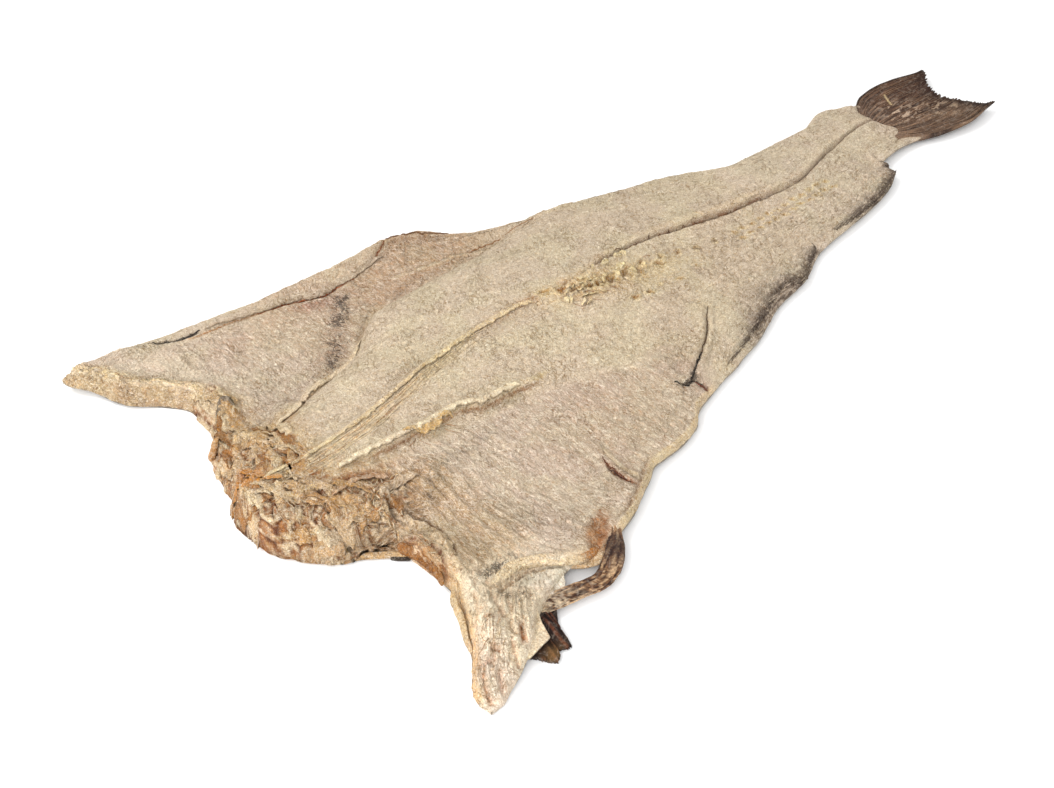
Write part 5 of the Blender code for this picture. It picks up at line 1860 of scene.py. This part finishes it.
def make_fibres(ground):
    """Loose fibres of the stump, the collar and the sockets."""
    batch = Batch()
    chance = np.random.default_rng(7)
    tan, pale, rust = srgb(218, 188, 138), srgb(236, 220, 188), srgb(186, 130, 80)
    for k, strand in enumerate(STRANDS):
        for copy in range(3):
            path = smooth_path(strand, 1.6)
            steps = np.arange(len(path)) * 1.6
            sway = np.stack([cloud(steps, copy * 9, k * 7, 9, seed) for seed in (501, 502)], 1)
            arch = np.sin(np.linspace(0, np.pi, len(path))) * (0.9 + 0.5 * copy)
            path = np.column_stack([path + sway * 3.5, arch])
            add_thread(batch, ground, path, 0.5 - 0.12 * copy, (tan, pale, rust)[copy])
    zones = (  # centre, spread, how many, length, mean direction in degrees, radius
        ((34, -48), (13, 9), 90, 11, -60, 0.26),
        ((14, -30), (12, 20), 80, 9, 80, 0.28),
        ((6, 4), (9, 20), 50, 8, 80, 0.28),
        ((22, 50), (8, 12), 40, 8, 70, 0.30),
        ((30, -10), (16, 10), 40, 12, 10, 0.24),
        ((50, -92), (5, 22), 50, 9, 90, 0.26),
        ((104, -33), (12, 5), 30, 8, 0, 0.26),
        ((4, 120), (10, 26), 60, 10, 100, 0.26),
        ((276, -5), (34, 7), 70, 6, -30, 0.24),
        ((30, -160), (14, 14), 30, 10, 50, 0.22),
    )
    for centre, spread, count, length, heading, radius in zones:
        for _ in range(count):
            start = np.array(centre) + chance.normal(0, 0.6, 2) * spread
            steps = max(5, int(length * chance.uniform(0.5, 1.4) / 1.4))
            turn = math.radians(heading + chance.normal(0, 38))
            path = [start]
            for _ in range(steps):
                turn += chance.normal(0, 0.28)
                path.append(path[-1] + 1.4 * np.array([math.cos(turn), math.sin(turn)]))
            path = np.array(path)
            x, y = path.T
            if not ((x > neck_cut(y) + 1.5) & (y > right_side(x) + 1.5)).all():
                continue  # it would hang over the edge
            arch = np.sin(np.linspace(0.1, 1, steps + 1) * np.pi) * chance.uniform(0, 1.1)
            colour = (tan, pale, pale, rust)[chance.integers(4)] * chance.uniform(0.85, 1.05)
            size = radius * chance.uniform(0.45, 0.85)
            add_thread(batch, ground, np.column_stack([path, arch * 0.6]), size, colour)
    # Long strands beside the midline's membrane.
    for k in range(11):
        start, stop = 10 + 9 * (k % 5), 100 + 16 * ((k * 3) % 7)
        along = np.arange(start, stop, 3.0)
        away = -1.0 - 0.9 * k + 2.2 * cloud(along, 0, 0, 26, 551 + k, 2)
        path = smooth_path(np.column_stack([along, midline(along) + away * (1.3 - along / 260)]), 1.5)
        colour = srgb(*((244, 224, 184), (236, 220, 188), (246, 228, 192), (226, 194, 148))[k % 4])
        path = np.column_stack([path, np.full(len(path), 0.1)])
        add_thread(batch, ground, path, 0.65 - 0.03 * k, colour)
    # The dark threads in creases and cracks stand in for their shade.
    for points, width, colour, seed in CREASE_SHADE_THREADS:
        path = smooth_path(points, 0.9)
        steps = np.arange(len(path)) * 0.9
        sway = np.stack([cloud(steps, 0, 0, 5, seed + i, 3, 0.7) for i in range(2)], 1)
        path = np.column_stack([path + 1.7 * sway, np.full(len(path), 0.12)])
        add_thread(batch, ground, path, width, srgb(*colour), 0.0, 6)
    batch.build("loose_fibres")


# ---------------------------------------------------------------- floor, light, camera
FLOOR_SIZE = 30.0
CAMERA_PLACE = (-0.2771, -0.5038, 0.5756)
CAMERA_TARGET = (0.18318, -0.02771, 0.0)
LIT_PLACE = (0.22, 0.0, 0.0)
LAMP_DISTANCE = 2.4
AMBIENT = 0.80
LAMPS = (  # name, direction seen from the fish, energy, size, colour
    # Seen from the camera the key light stands behind the fish and to its left.
    ("key", (-0.40, 0.46, 0.85), 24, 1.1, (1.0, 0.985, 0.96)),
    ("fill", (-0.76, -0.44, 0.58), 50, 2.4, (1, 1, 1)),
)


def to_row_point(place):
    """A place in the fish's plan, in metres, not held inside the CAD box."""
    return Vector(np.array(place) + SHIFT)


def make_floor():
    """The pale table that the fish lies on."""
    mesh = bpy.data.meshes.new("floor")
    half, z = FLOOR_SIZE / 2, CAD_LOW[2]
    corners = [(-half, -half, z), (half, -half, z), (half, half, z), (-half, half, z)]
    mesh.from_pydata(corners, [], [(0, 1, 2, 3)])
    material, tree = new_material("pale_floor")
    tone = shaded((0.97, 0.97, 0.97), ramp(speckle(tree, 60, 2), 0.3, 0.7, 0.995, 1.0))
    mesh.materials.append(finish_material(material, tone, 0.9, 0.0))
    placed("floor", mesh)


def aim(made, place, target):
    """Puts a lamp or camera at a place, looking at a target."""
    made.location = place
    made.rotation_euler = (target - place).to_track_quat("-Z", "Y").to_euler()


def make_camera():
    lens = bpy.data.cameras.new("camera")
    lens.lens = 50
    lens.sensor_width = 36
    lens.clip_start = 0.01
    lens.clip_end = 100
    made = placed("camera", lens)
    aim(made, to_row_point(CAMERA_PLACE), to_row_point(CAMERA_TARGET))
    bpy.context.scene.camera = made


def make_light_rig():
    world = bpy.data.worlds.new("studio")
    bpy.context.scene.world = world
    world.use_nodes = True
    background = world.node_tree.nodes["Background"]
    background.inputs["Color"].default_value = (1, 1, 1, 1)
    background.inputs["Strength"].default_value = AMBIENT
    target = to_row_point(LIT_PLACE)
    for name, direction, energy, size, colour in LAMPS:
        lamp = bpy.data.lights.new(name, "AREA")
        lamp.shape = "DISK"
        lamp.energy = energy
        lamp.size = size
        lamp.color = colour
        aim(placed(name, lamp), target + Vector(direction).normalized() * LAMP_DISTANCE, target)
    bpy.context.scene.view_settings.view_transform = "Standard"
    bpy.context.scene.view_settings.look = "None"


make_floor()
make_camera()
make_light_rig()
surface, flesh_top = make_flesh()
ground = Ground(flesh_top, surface.tint)
make_skin()
make_tail_fin()
make_strap()
make_pectoral_fin()
make_margins(ground)
make_tissue(ground)
make_lug_parts()
make_fibres(ground)
